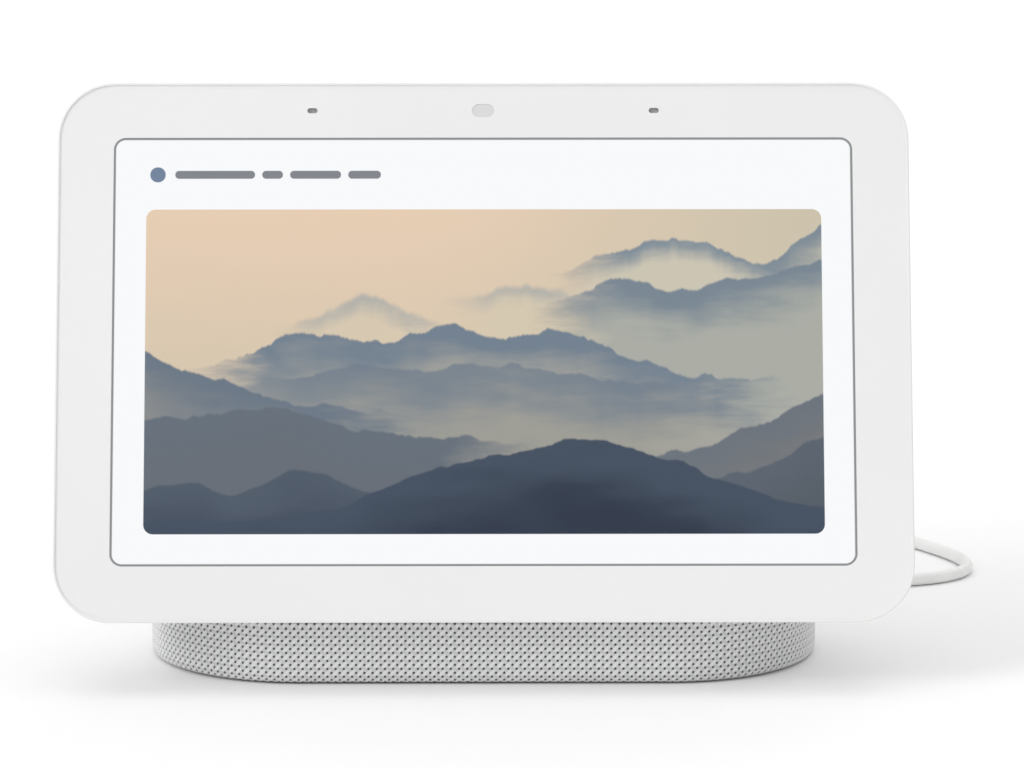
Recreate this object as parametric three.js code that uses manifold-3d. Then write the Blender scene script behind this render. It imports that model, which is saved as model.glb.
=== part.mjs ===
// A seven-inch smart display on a fabric-covered base, with its power lead and wall adapter.
// Millimetres. +X is right seen from the front, the screen faces -Y and +Z is up.
// The origin is on the table, below the middle of the display and its base.

import * as THREE from 'three';
import { mergeVertices } from 'three/addons/utils/BufferGeometryUtils.js';
import Module from 'manifold-3d';

const wasm = await Module();
wasm.setup();

// Whole object
const OBJECT_DEPTH = 69.5;
const OBJECT_HEIGHT = 120.4;
const GAP = 0.3;

// Display head, measured on its own tilted axes: u across, depth back from the glass, s up the face
const HEAD_WIDTH = 177.4;
const HEAD_HEIGHT = 113.9;
const HEAD_THICKNESS = 10.5;
const HEAD_CORNER = 12;
const CORNER_STEPS = 6;
const HEAD_BACK_ROUND = 5;
const HEAD_DRAFT = 0.9;
const HEAD_WALL = 1.3;
const HEAD_SIDE_WALL = 1.8;
const HEAD_TILT = THREE.MathUtils.degToRad(22);
const RIM_ROUND = 0.3;
const HEAD_OFFSET = RIM_ROUND * Math.sin(HEAD_TILT);
const HEAD_LIFT = OBJECT_HEIGHT - HEAD_HEIGHT * Math.cos(HEAD_TILT) + HEAD_OFFSET;
const LEDGE_DEPTH = 1.3;
const GLASS_INSET = 0.8;
const GLASS_THICKNESS = 1.0;

// How far pieces of one body reach into each other, and how far a cutter runs past what it cuts
const BITE = 0.2;
const PAST = 1;

// Screen
const BORDER = 12;
const SCREEN_WIDTH = HEAD_WIDTH - 2 * BORDER;
const SCREEN_HEIGHT = HEAD_HEIGHT - 2 * BORDER;
const SCREEN_CORNER = 2.3;
const SCREEN_MIDDLE = HEAD_HEIGHT / 2;
const PANEL_INSET = 1.3;

// Layers behind the glass, as depths from its face
const PRINT = { near: 1.3, far: 1.6 };
const LCD = { near: 1.95, far: 3.1 };
const LIGHT_GUIDE = { near: 3.4, far: 4.5 };
const TRAY = { width: 165, low: 5.2, high: 105.7, near: 1.95, far: 5.1, wall: 1, floor: 0.3 };
const MID_FRAME = { near: 5.4, far: 6.2, inset: 2.5, boss: 3, bossFloor: 0.6 };
const CONTROL_BOARD = { near: 5.5, far: 6.1 };

// Openings in the top border
const SENSOR_ROW = HEAD_HEIGHT - 6;
const MIC_SPACING = 71.2;
const MIC_HOLE = { width: 2.1, height: 1.1 };
const SENSOR_HOLE = { width: 5.2, height: 3.5 };
const SENSOR_LENS = { near: 1.3, far: 1.9 };
const SENSOR_BOARD = { width: 16, near: 2.2, far: 2.8 };
const SENSOR_CHIP = { offset: 5, width: 3, height: 2.4, far: 3.6 };
const SENSOR_FLEX = { height: 3.2, near: 3.95, far: 4.15 };
const MIC_BOARD = { width: 12, near: 1.95, far: 2.6, port: 0.5 };
const MIC_CAN = { offset: 3.2, width: 3.8, height: 3, far: 3.6 };
const TOP_BOARD_ROW = SENSOR_ROW + 0.3;
const TOP_BOARD_HEIGHT = 4.4;

// Controls on the back of the head
const ROCKER = { u: 80, s: 80, width: 4, length: 22, proud: 0.8, crown: 0.3, edge: 0.4 };
const ROCKER_FLANGE = { sides: 1.1, ends: 1.5, near: 7.7, far: 8.3 };
const ROCKER_SWITCH = { offset: 6.5, width: 3.4, height: 3, near: 6.4, far: 7.0 };
const ROCKER_PLUNGER = { radius: 0.8, far: 7.3 };
const VOLUME_BOARD = { width: 6, height: 30 };
const MUTE = { s: 100, width: 6, height: 3.6, travel: 2.4, proud: 0.6 };
const MUTE_FLANGE = { sides: 3, ends: 1, near: 8.2, far: 8.8 };
const MUTE_GROOVE = { spacing: 1.2, width: 0.4, height: 2.2, depth: 0.3 };
const MUTE_SWITCH = { width: 9, height: 4.4, far: 7.9, boardWidth: 18, boardHeight: 6 };

// Joint of head and base
const CABLE_SLOT = { s: 16.5, width: 30, height: 5 };
const DISPLAY_FLEX = { width: 24, thick: 0.25, bend: 0.8, depth: 5.6, high: 33 };
const FLEX_AT_BOARD = { depth: 16.5, high: 30 };
const NECK_SCREW = { u: 36, low: 22, high: 50, shaft: 1.2, head: 2.6, tip: 7, headBack: 16.2 };
const NECK_SOCKET = { radius: 1.3, depth: 0.8 };
const SCREW_CLEARANCE = 1.5;
const NECK_PLATE = { s: 34, width: 96, height: 46, corner: 6, far: 14.3 };
const NECK_POST = { u: 26, low: 26, high: 46, radius: 2 };

// Electronics behind the neck, on the head's axes
const MAIN_BOARD = { s: 35, width: 80, height: 42, near: 17, far: 18.2 };
const POWER_SOCKET = { u: 27, s: 48, width: 8, height: 5, far: 21 };
const SCREEN_SOCKET = { s: 34, width: 26, height: 3.5, near: 15.8 };
const SHIELD = { u: -10, s: 36, width: 40, height: 32, near: 18.5, far: 20.8, sheet: 0.5, roof: 0.4 };
const SPREADER = { margin: 2, near: 21.1, far: 22.1 };

// Fabric-covered base, a stadium seen from above
const BASE_HALF_WIDTH = 70.1;
const BASE_FRONT = -28.05;
const BASE_BACK = OBJECT_DEPTH / 2;
const BASE_ROUND = (BASE_BACK - BASE_FRONT) / 2;
const BASE_STRAIGHT = BASE_HALF_WIDTH - BASE_ROUND;
const BASE_MIDDLE = (BASE_BACK + BASE_FRONT) / 2;
const BASE_BOTTOM = 0.4;
const BASE_BOTTOM_ROUND = 2.5;
const BASE_SHOULDER = 16;
const BASE_TOP_Y = -1.1;
const BASE_TOP_Z = 70;
const BASE_TOP_SLOPE = Math.tan(HEAD_TILT);
const FABRIC = 1.0;
const ENCLOSURE_OUTSIDE = FABRIC + GAP;
const ENCLOSURE_WALL = 2.0;
const ENCLOSURE_INSIDE = ENCLOSURE_OUTSIDE + ENCLOSURE_WALL;
const HEM = 2.6;
const FOOT_TOP = 1.3;
const PLATE_BOTTOM = 1.6;
const PLATE_TOP = 3.4;
const BOTTOM_SCREW = { x: 60, y: 10, shaft: 1.2, head: 2.4, headHeight: 0.85, seat: 1.2, top: 12 };
const BOTTOM_BOSS = { radius: 3.2, rib: 2, high: 15 };
const FOOT_CHAMFER = 0.4;
const CABLE_WINDOW = { s: 33, width: 50, height: 44, corner: 5 };

// Speaker, firing backwards
const SPEAKER_X = -14;
const SPEAKER_Z = 24.4;
const GRILLE_RADIUS = 15;
const GRILLE_PITCH = 5;
const GRILLE_SLOT = 2.6;
const GRILLE_DEPTH = 4;

// Power inlet and plug, along +Y
const JACK_X = 34;
const JACK_Z = 12;
const JACK_NOSE = 4.9;
const JACK_BORE = 3.05;
const JACK_PIN = { radius: 0.9, end: 32 };
const JACK_BODY = { size: 9.4, start: 20 };
const JACK_BOARD = { y: 23.5, z: 6.2, width: 16, depth: 15, height: 1.2 };
const PLUG_START = 25.4;
const BARREL = { inside: 1.25, outside: 2.75 };
const GRIP = { start: 4.1, wide: 4.5, shoulder: 3.9, end: 3.4 };
const RELIEF = { wide: 3.1, neck: 2.9, end: 1.95 };
const GRIP_START = BASE_BACK + 0.45;
const GRIP_END = 49;
const RELIEF_END = 61.3;

// Free lead
const CORD_RADIUS = 1.35;
const CORD_SIDES = 8;
const COIL = { x: 4, y: 60.5, radius: 16.5, wide: 3, high: 4, lift: 0.85 };
const TIE_THICKNESS = 0.5;
const TIE_WIDTH = 6;

// Wall adapter, lying on its face
const ADAPTER = { x: -52, y: 80, size: 46, corner: 12, round: 4, height: 27, split: 19.8, wall: 2 };
const ADAPTER_INLET_Z = 9;
const ADAPTER_INLET_BORE = 2.2;
const ADAPTER_RELIEF_LENGTH = 12.6;
const BLADE = { width: 6.35, thickness: 1.5, spacing: 12.7, length: 16.5, root: 4 };
const BLADE_TIP = { height: 1.6, inset: 1.4 };
const BLADE_HOLE = { radius: 1.6, fromTip: 4.2 };
const ADAPTER_BOARD = { size: 32, z: 3.6, height: 1.4 };
const TRANSFORMER = { x: -4, y: -2, z: 10.6 };

const LOOKS = {
  glass: { color: 0xf4f5f6, roughness: 0.08, metalness: 0 },
  whitePlastic: { color: 0xeeeeec, roughness: 0.45, metalness: 0 },
  borderPrint: { color: 0xeeeeee, roughness: 0.6, metalness: 0 },
  picture: { color: 0x8a8f92, roughness: 0.3, metalness: 0 },
  diffuser: { color: 0xf6f6f2, roughness: 0.5, metalness: 0 },
  steel: { color: 0xb9bcc0, roughness: 0.35, metalness: 0.9 },
  aluminium: { color: 0xc9ccd0, roughness: 0.4, metalness: 0.9 },
  darkPlastic: { color: 0x2c2e31, roughness: 0.6, metalness: 0 },
  greyPlastic: { color: 0xd2d3d3, roughness: 0.55, metalness: 0 },
  board: { color: 0x1f5d43, roughness: 0.5, metalness: 0.1 },
  flex: { color: 0xc1822b, roughness: 0.45, metalness: 0.1 },
  fabric: { color: 0xb9babb, roughness: 0.95, metalness: 0 },
  rubber: { color: 0x6f7173, roughness: 0.85, metalness: 0 },
  paper: { color: 0x34363a, roughness: 0.9, metalness: 0 },
  magnet: { color: 0x4a4c50, roughness: 0.5, metalness: 0.7 },
  copper: { color: 0xb8733a, roughness: 0.35, metalness: 0.9 },
  whiteRubber: { color: 0xf0f0ee, roughness: 0.6, metalness: 0 },
};

// Outlines, drawn counterclockwise

function arcPoints(x, y, radius, startTurn, endTurn, steps) {
  const points = [];
  for (let step = 0; step <= steps; step += 1) {
    const angle = THREE.MathUtils.lerp(startTurn, endTurn, step / steps) * 2 * Math.PI;
    points.push(new THREE.Vector2(x + radius * Math.cos(angle), y + radius * Math.sin(angle)));
  }
  return points;
}

function circle(x, y, radius, sides = 10) {
  return arcPoints(x, y, radius, 0, 1, sides).slice(0, -1);
}

function rectangle(x, y, width, height, radius = 0.01, steps = 1) {
  const right = x + width / 2 - radius;
  const left = x - width / 2 + radius;
  const top = y + height / 2 - radius;
  const bottom = y - height / 2 + radius;
  return [
    ...arcPoints(right, bottom, radius, -0.25, 0, steps),
    ...arcPoints(right, top, radius, 0, 0.25, steps),
    ...arcPoints(left, top, radius, 0.25, 0.5, steps),
    ...arcPoints(left, bottom, radius, 0.5, 0.75, steps),
  ];
}

function pill(x, y, width, height, steps = 3) {
  const radius = Math.min(width, height) / 2 - 0.001;
  return rectangle(x, y, width, height, radius, steps);
}

function stadium(x, y, straight, radius, steps = 12) {
  return [
    ...arcPoints(x + straight, y, radius, -0.25, 0.25, steps),
    ...arcPoints(x - straight, y, radius, 0.25, 0.75, steps),
  ];
}

// Shape of a thin strip that follows a path of straight runs
function strip(path, thickness) {
  const sides = [[], []];
  path.forEach((point, index) => {
    const before = path[Math.max(index - 1, 0)];
    const after = path[Math.min(index + 1, path.length - 1)];
    const into = point.clone().sub(before).normalize();
    const out = after.clone().sub(point).normalize();
    const along = into.add(out).normalize();
    const across = new THREE.Vector2(-along.y, along.x).multiplyScalar(thickness / 2);
    sides[0].push(point.clone().sub(across));
    sides[1].unshift(point.clone().add(across));
  });
  return sides.flat();
}

// Solids

function outlineShape(outline, holes = []) {
  const shape = new THREE.Shape(outline);
  holes.forEach((hole) => shape.holes.push(new THREE.Path(hole)));
  return shape;
}

function extruded(outline, holes, low, high) {
  const options = { depth: high - low, bevelEnabled: false };
  const geometry = new THREE.ExtrudeGeometry(outlineShape(outline, holes), options);
  return geometry.translate(0, 0, low);
}

// A plate of the head, drawn in u and s, between two depths
function headPlate(outline, holes, near, far) {
  return extruded(outline, holes, -far, -near).rotateX(Math.PI / 2);
}

// A profile drawn in y and z, run across x
function extrudedAcross(outline, holes, left, right) {
  return extruded(outline, holes, left, right).rotateZ(Math.PI / 2).rotateY(Math.PI / 2);
}

function box(x, y, z, width, depth, height) {
  return new THREE.BoxGeometry(width, depth, height).translate(x, y, z);
}

// A round bar along Z, or along Y when lying
function bar(radius, low, high, sides = 10) {
  const geometry = new THREE.CylinderGeometry(radius, radius, high - low, sides);
  return geometry.rotateX(Math.PI / 2).translate(0, 0, (low + high) / 2);
}

function lyingBar(radius, near, far, sides = 12) {
  return new THREE.CylinderGeometry(radius, radius, far - near, sides).translate(0, (near + far) / 2, 0);
}

// Turned about the Y axis. Each pair is a radius and a place along the axis.
function turned(profile, sides = 20) {
  return new THREE.LatheGeometry(profile.map(([radius, along]) => new THREE.Vector2(radius, along)), sides);
}

function turnedRing(profile, sides = 20) {
  return turned([...profile, profile[0]], sides);
}

// Skin over a stack of rings, each drawn counterclockwise seen from above, from the lowest up
function loft(rings) {
  const count = rings[0].length;
  const positions = rings.flat().flatMap((point) => [point.x, point.y, point.z]);
  const indices = [];
  for (let ring = 0; ring + 1 < rings.length; ring += 1) {
    for (let index = 0; index < count; index += 1) {
      const next = (index + 1) % count;
      const low = ring * count;
      const high = low + count;
      indices.push(low + index, low + next, high + next);
      indices.push(low + index, high + next, high + index);
    }
  }
  const lowCentre = positions.length / 3;
  const highCentre = lowCentre + 1;
  const last = (rings.length - 1) * count;
  [rings[0], rings.at(-1)].forEach((ring) => {
    const centre = ring.reduce((sum, point) => sum.add(point), new THREE.Vector3()).divideScalar(count);
    positions.push(centre.x, centre.y, centre.z);
  });
  for (let index = 0; index < count; index += 1) {
    const next = (index + 1) % count;
    indices.push(lowCentre, next, index);
    indices.push(highCentre, last + index, last + next);
  }
  const geometry = new THREE.BufferGeometry();
  geometry.setAttribute('position', new THREE.Float32BufferAttribute(positions, 3));
  geometry.setIndex(indices);
  return geometry;
}

function tube(points, radius, steps, sides = CORD_SIDES) {
  const path = new THREE.CatmullRomCurve3(points, false, 'centripetal');
  const section = outlineShape(circle(0, 0, radius, sides));
  return new THREE.ExtrudeGeometry(section, { steps, extrudePath: path });
}

// Booleans

function weld(geometry) {
  const bare = geometry.clone();
  bare.deleteAttribute('normal');
  bare.deleteAttribute('uv');
  const merged = mergeVertices(bare, 1e-4);
  const faces = merged.index.array;
  const kept = [];
  for (let face = 0; face < faces.length; face += 3) {
    const [a, b, c] = faces.slice(face, face + 3);
    if (a !== b && b !== c && c !== a) {
      kept.push(a, b, c);
    }
  }
  merged.setIndex(kept);
  return merged;
}

function solidOf(geometry) {
  const welded = weld(geometry);
  const vertProperties = new Float32Array(welded.attributes.position.array);
  const triVerts = new Uint32Array(welded.index.array);
  return new wasm.Manifold(new wasm.Mesh({ numProp: 3, vertProperties, triVerts }));
}

function geometryOf(solid) {
  const mesh = solid.getMesh();
  const geometry = new THREE.BufferGeometry();
  geometry.setAttribute('position', new THREE.Float32BufferAttribute(mesh.vertProperties, 3));
  geometry.setIndex(Array.from(mesh.triVerts));
  return geometry;
}

function cut(body, ...tools) {
  return geometryOf(tools.reduce((solid, tool) => solid.subtract(solidOf(tool)), solidOf(body)));
}

function join(body, ...others) {
  return geometryOf(others.reduce((solid, other) => solid.add(solidOf(other)), solidOf(body)));
}

// Assembly

const smartDisplay = new THREE.Group();
const head = new THREE.Group();
head.position.set(0, -OBJECT_DEPTH / 2 - HEAD_OFFSET, HEAD_LIFT);
head.rotation.x = -HEAD_TILT;
head.updateMatrix();
smartDisplay.add(head);

function addPart(parent, name, geometry, look) {
  const mesh = new THREE.Mesh(weld(geometry), new THREE.MeshStandardMaterial(LOOKS[look]));
  mesh.name = name;
  parent.add(mesh);
}

function inWorld(headGeometry) {
  return headGeometry.applyMatrix4(head.matrix);
}

// A solid of the head's outline. Each section is an inset of that outline and a depth.
function headSlab(sections) {
  const rings = sections.map(([inset, depth]) => {
    const width = HEAD_WIDTH - 2 * inset;
    const height = HEAD_HEIGHT - 2 * inset;
    const corner = Math.max(HEAD_CORNER - inset, 0.5);
    const outline = rectangle(0, SCREEN_MIDDLE, width, height, corner, CORNER_STEPS);
    return outline.map((point) => new THREE.Vector3(point.x, point.y, -depth));
  });
  return loft(rings.reverse()).rotateX(Math.PI / 2);
}

// Insets and depths of a rounded back edge that ends at a depth
function roundedBack(inset, endDepth, radius, steps = 4) {
  const sections = [];
  for (let step = 0; step <= steps; step += 1) {
    const angle = (step / steps) * Math.PI / 2;
    const depth = endDepth - radius + radius * Math.sin(angle);
    sections.push([inset + radius * (1 - Math.cos(angle)), depth]);
  }
  return sections;
}

// The space that the head takes from the base, grown by a clearance and run out in front
function headSpace(clearance) {
  const back = HEAD_THICKNESS + clearance;
  const rounding = roundedBack(HEAD_DRAFT - clearance, back, HEAD_BACK_ROUND + clearance);
  return inWorld(headSlab([[-clearance, -80], [-clearance, RIM_ROUND], ...rounding]));
}

// Head

// Widest at the rim, and drawn in by the draft up to the rounded back edge
function rearHousing() {
  const outside = headSlab([
    [RIM_ROUND, 0],
    [0, RIM_ROUND],
    ...roundedBack(HEAD_DRAFT, HEAD_THICKNESS, HEAD_BACK_ROUND),
  ]);
  const glassPocket = headSlab([[GLASS_INSET - GAP, -PAST], [GLASS_INSET - GAP, LEDGE_DEPTH]]);
  const innerBack = HEAD_THICKNESS - HEAD_WALL;
  const cavity = headSlab([
    [HEAD_SIDE_WALL, LEDGE_DEPTH - BITE],
    ...roundedBack(HEAD_SIDE_WALL, innerBack, HEAD_BACK_ROUND - HEAD_WALL),
  ]);
  const throughBack = (outline) => headPlate(outline, [], innerBack - PAST, HEAD_THICKNESS + PAST);
  const rockerSlot = pill(ROCKER.u, ROCKER.s, ROCKER.width + 2 * GAP, ROCKER.length + 2 * GAP);
  const muteSlotWidth = MUTE.width + MUTE.travel + 2 * GAP;
  const muteSlot = pill(0, MUTE.s, muteSlotWidth, MUTE.height + 2 * GAP);
  const cableSlot = pill(0, CABLE_SLOT.s, CABLE_SLOT.width, CABLE_SLOT.height);
  const openings = [rockerSlot, muteSlot, cableSlot, ...neckScrewCircles(SCREW_CLEARANCE)];
  return cut(outside, glassPocket, cavity, ...openings.map(throughBack));
}

function neckScrewPlaces() {
  const places = [];
  for (const s of [NECK_SCREW.low, NECK_SCREW.high]) {
    for (const side of [-1, 1]) {
      places.push({ u: side * NECK_SCREW.u, s });
    }
  }
  return places;
}

function neckScrewCircles(radius) {
  return neckScrewPlaces().map(({ u, s }) => circle(u, s, radius));
}

function micHoles() {
  return [-1, 1].map((side) => {
    return pill(side * MIC_SPACING / 2, SENSOR_ROW, MIC_HOLE.width, MIC_HOLE.height);
  });
}

function headOutline(inset) {
  const width = HEAD_WIDTH - 2 * inset;
  const height = HEAD_HEIGHT - 2 * inset;
  return rectangle(0, SCREEN_MIDDLE, width, height, HEAD_CORNER - inset, CORNER_STEPS);
}

function borderMask() {
  const window = rectangle(0, SCREEN_MIDDLE, SCREEN_WIDTH, SCREEN_HEIGHT, SCREEN_CORNER, 3);
  const sensor = pill(0, SENSOR_ROW, SENSOR_HOLE.width, SENSOR_HOLE.height);
  const holes = [window, sensor, ...micHoles()];
  return headPlate(headOutline(HEAD_SIDE_WALL + GAP), holes, PRINT.near, PRINT.far);
}

function trayOutline(inset) {
  const height = TRAY.high - TRAY.low - 2 * inset;
  return rectangle(0, (TRAY.high + TRAY.low) / 2, TRAY.width - 2 * inset, height, 1, 2);
}

function lcdTray() {
  const outside = headPlate(trayOutline(0), [], TRAY.near, TRAY.far);
  const inside = headPlate(trayOutline(TRAY.wall), [], TRAY.near - PAST, TRAY.far - TRAY.floor);
  return cut(outside, inside);
}

function midFrame() {
  const { near, far, inset, boss, bossFloor } = MID_FRAME;
  const bossEnd = HEAD_THICKNESS - HEAD_WALL - GAP;
  const flexWindow = rectangle(0, 22, 34, 26, 2, 2);
  const rockerWindow = rectangle(ROCKER.u, ROCKER.s, 8, 34, 1, 1);
  const muteWindow = rectangle(0, MUTE.s, 22, 8, 1, 1);
  const lightening = [-1, 1].map((side) => rectangle(side * 46, 74, 48, 26, 3, 2));
  const windows = [flexWindow, rockerWindow, muteWindow, ...lightening];
  const plate = headPlate(headOutline(inset), windows, near, far);
  const bosses = neckScrewCircles(boss).map((outline) => headPlate(outline, [], near, bossEnd));
  const bores = neckScrewCircles(SCREW_CLEARANCE).map((bore) => {
    return headPlate(bore, [], far + bossFloor, bossEnd + PAST);
  });
  return cut(join(plate, ...bosses), ...bores);
}

function microphoneBoard(side) {
  const u = side * MIC_SPACING / 2;
  const { width, near, far, port } = MIC_BOARD;
  const outline = rectangle(u, TOP_BOARD_ROW, width, TOP_BOARD_HEIGHT);
  const can = rectangle(u + MIC_CAN.offset, TOP_BOARD_ROW, MIC_CAN.width, MIC_CAN.height);
  return join(
    headPlate(outline, [circle(u, SENSOR_ROW, port, 8)], near, far),
    headPlate(can, [], far - BITE, MIC_CAN.far),
  );
}

function sensorBoard() {
  const { width, near, far } = SENSOR_BOARD;
  const chip = rectangle(SENSOR_CHIP.offset, TOP_BOARD_ROW, SENSOR_CHIP.width, SENSOR_CHIP.height);
  return join(
    headPlate(rectangle(0, TOP_BOARD_ROW, width, TOP_BOARD_HEIGHT), [], near, far),
    headPlate(chip, [], far - BITE, SENSOR_CHIP.far),
  );
}

// Flat cable from the screen, through the neck, to the front of the main board
function displayFlex() {
  const { width, thick, bend, depth, high } = DISPLAY_FLEX;
  const path = [
    new THREE.Vector2(depth, high),
    ...arcPoints(depth + bend, CABLE_SLOT.s + bend, bend, 0.5, 0.75, 3),
    ...arcPoints(FLEX_AT_BOARD.depth - bend, CABLE_SLOT.s + bend, bend, -0.25, 0, 3),
    new THREE.Vector2(FLEX_AT_BOARD.depth, FLEX_AT_BOARD.high),
  ];
  return extrudedAcross(strip(path, thick), [], -width / 2, width / 2);
}

function volumeRocker() {
  const { u, s, width, length, proud, crown, edge } = ROCKER;
  const { sides, ends, near, far } = ROCKER_FLANGE;
  const top = HEAD_THICKNESS + proud;
  const crownOutline = pill(u, s, width - 2 * edge, length - 2 * edge);
  return join(
    headPlate(pill(u, s, width + 2 * sides, length + 2 * ends), [], near, far),
    headPlate(pill(u, s, width, length), [], far - BITE, top - crown),
    headPlate(crownOutline, [], top - crown - BITE, top),
  );
}

function volumeSwitch(direction) {
  const { offset, width, height, near, far } = ROCKER_SWITCH;
  const s = ROCKER.s + direction * offset;
  return join(
    headPlate(rectangle(ROCKER.u, s, width, height), [], near, far),
    headPlate(circle(ROCKER.u, s, ROCKER_PLUNGER.radius, 10), [], far - BITE, ROCKER_PLUNGER.far),
  );
}

function muteSlider() {
  const u = -MUTE.travel / 2;
  const { sides, ends, near, far } = MUTE_FLANGE;
  const top = HEAD_THICKNESS + MUTE.proud;
  const slider = join(
    headPlate(pill(u, MUTE.s, MUTE.width + 2 * sides, MUTE.height + 2 * ends), [], near, far),
    headPlate(pill(u, MUTE.s, MUTE.width, MUTE.height), [], far - BITE, top),
  );
  const grooves = [-1, 0, 1].map((place) => {
    const { spacing, width, height, depth } = MUTE_GROOVE;
    const groove = rectangle(u + place * spacing, MUTE.s, width, height);
    return headPlate(groove, [], top - depth, top + PAST);
  });
  return cut(slider, ...grooves);
}

function muteSwitch() {
  const { width, height, far, boardWidth, boardHeight } = MUTE_SWITCH;
  const board = rectangle(0, MUTE.s, boardWidth, boardHeight);
  return join(
    headPlate(board, [], CONTROL_BOARD.near, CONTROL_BOARD.far),
    headPlate(rectangle(0, MUTE.s, width, height), [], CONTROL_BOARD.far - BITE, far),
  );
}

function addHead() {
  const lens = pill(0, SENSOR_ROW, SENSOR_HOLE.width - 2 * GAP, SENSOR_HOLE.height - 2 * GAP);
  const sensorFlex = rectangle(0, TOP_BOARD_ROW, MIC_SPACING + 6, SENSOR_FLEX.height);
  const glass = headPlate(headOutline(GLASS_INSET), micHoles(), 0, GLASS_THICKNESS);
  const panel = trayOutline(PANEL_INSET);
  const volumeBoard = rectangle(ROCKER.u, ROCKER.s, VOLUME_BOARD.width, VOLUME_BOARD.height);
  addPart(head, 'cover_glass', glass, 'glass');
  addPart(head, 'border_mask', borderMask(), 'borderPrint');
  addPart(head, 'sensor_lens', headPlate(lens, [], SENSOR_LENS.near, SENSOR_LENS.far), 'diffuser');
  addPart(head, 'sensor_board', sensorBoard(), 'board');
  addPart(head, 'sensor_flex', headPlate(sensorFlex, [], SENSOR_FLEX.near, SENSOR_FLEX.far), 'flex');
  addPart(head, 'microphone_board_left', microphoneBoard(-1), 'board');
  addPart(head, 'microphone_board_right', microphoneBoard(1), 'board');
  addPart(head, 'lcd_panel', headPlate(panel, [], LCD.near, LCD.far), 'picture');
  addPart(head, 'backlight_guide', headPlate(panel, [], LIGHT_GUIDE.near, LIGHT_GUIDE.far), 'diffuser');
  addPart(head, 'lcd_tray', lcdTray(), 'steel');
  addPart(head, 'display_flex', displayFlex(), 'flex');
  addPart(head, 'mid_frame', midFrame(), 'darkPlastic');
  addPart(head, 'rear_housing', rearHousing(), 'whitePlastic');
  addPart(head, 'volume_rocker', volumeRocker(), 'whitePlastic');
  addPart(head, 'volume_board', headPlate(volumeBoard, [], CONTROL_BOARD.near, CONTROL_BOARD.far), 'board');
  addPart(head, 'volume_switch_up', volumeSwitch(1), 'darkPlastic');
  addPart(head, 'volume_switch_down', volumeSwitch(-1), 'darkPlastic');
  addPart(head, 'mute_slider', muteSlider(), 'greyPlastic');
  addPart(head, 'mute_switch', muteSwitch(), 'darkPlastic');
}

// Joint of head and base

const FLANGE_BACK = HEAD_THICKNESS + GAP + ENCLOSURE_WALL;

function neckPlate() {
  const cable = pill(0, CABLE_SLOT.s, CABLE_SLOT.width + 4, CABLE_SLOT.height + 1);
  const holes = [cable, ...neckScrewCircles(SCREW_CLEARANCE)];
  const { s: middle, width, height, corner, far } = NECK_PLATE;
  const outline = rectangle(0, middle, width, height, corner, 4);
  const plate = headPlate(outline, holes, FLANGE_BACK + GAP, far);
  const posts = [];
  for (const side of [-1, 1]) {
    for (const s of [NECK_POST.low, NECK_POST.high]) {
      const post = circle(side * NECK_POST.u, s, NECK_POST.radius);
      posts.push(headPlate(post, [], far - BITE, MAIN_BOARD.near - GAP));
    }
  }
  return join(plate, ...posts);
}

// A pan-head screw along depth, its head at the back
function neckScrew({ u, s }) {
  const { shaft, head: headRadius, tip, headBack } = NECK_SCREW;
  const seat = NECK_PLATE.far + GAP;
  const shank = headPlate(circle(u, s, shaft), [], tip, seat + BITE);
  const headDisc = headPlate(circle(u, s, headRadius), [], seat, headBack);
  const socket = circle(u, s, NECK_SOCKET.radius, 6);
  return cut(join(shank, headDisc), headPlate(socket, [], headBack - NECK_SOCKET.depth, headBack + PAST));
}

function mainBoard() {
  const { s, width, height, near, far } = MAIN_BOARD;
  const power = rectangle(POWER_SOCKET.u, POWER_SOCKET.s, POWER_SOCKET.width, POWER_SOCKET.height);
  const screen = rectangle(0, SCREEN_SOCKET.s, SCREEN_SOCKET.width, SCREEN_SOCKET.height);
  return join(
    headPlate(rectangle(0, s, width, height, 1.5, 2), [], near, far),
    headPlate(power, [], far - BITE, POWER_SOCKET.far),
    headPlate(screen, [], SCREEN_SOCKET.near, near + BITE),
  );
}

function boardShield() {
  const { u, s, width, height, near, far, sheet, roof } = SHIELD;
  const outside = headPlate(rectangle(u, s, width, height, 1, 1), [], near, far);
  const inner = rectangle(u, s, width - 2 * sheet, height - 2 * sheet, 0.5, 1);
  return cut(outside, headPlate(inner, [], near - PAST, far - roof));
}

function heatSpreader() {
  const { margin, near, far } = SPREADER;
  const width = SHIELD.width + 2 * margin;
  const height = SHIELD.height + 2 * margin;
  return headPlate(rectangle(SHIELD.u, SHIELD.s, width, height, 2, 2), [], near, far);
}

function addNeck() {
  addPart(head, 'neck_plate', neckPlate(), 'steel');
  neckScrewPlaces().forEach((place, index) => {
    addPart(head, `neck_screw_${index + 1}`, neckScrew(place), 'steel');
  });
  addPart(head, 'main_board', mainBoard(), 'board');
  addPart(head, 'board_shield', boardShield(), 'steel');
  addPart(head, 'heat_spreader', heatSpreader(), 'aluminium');
}

// Base

function topHeight(y) {
  return BASE_TOP_Z - BASE_TOP_SLOPE * (y - BASE_TOP_Y);
}

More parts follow.
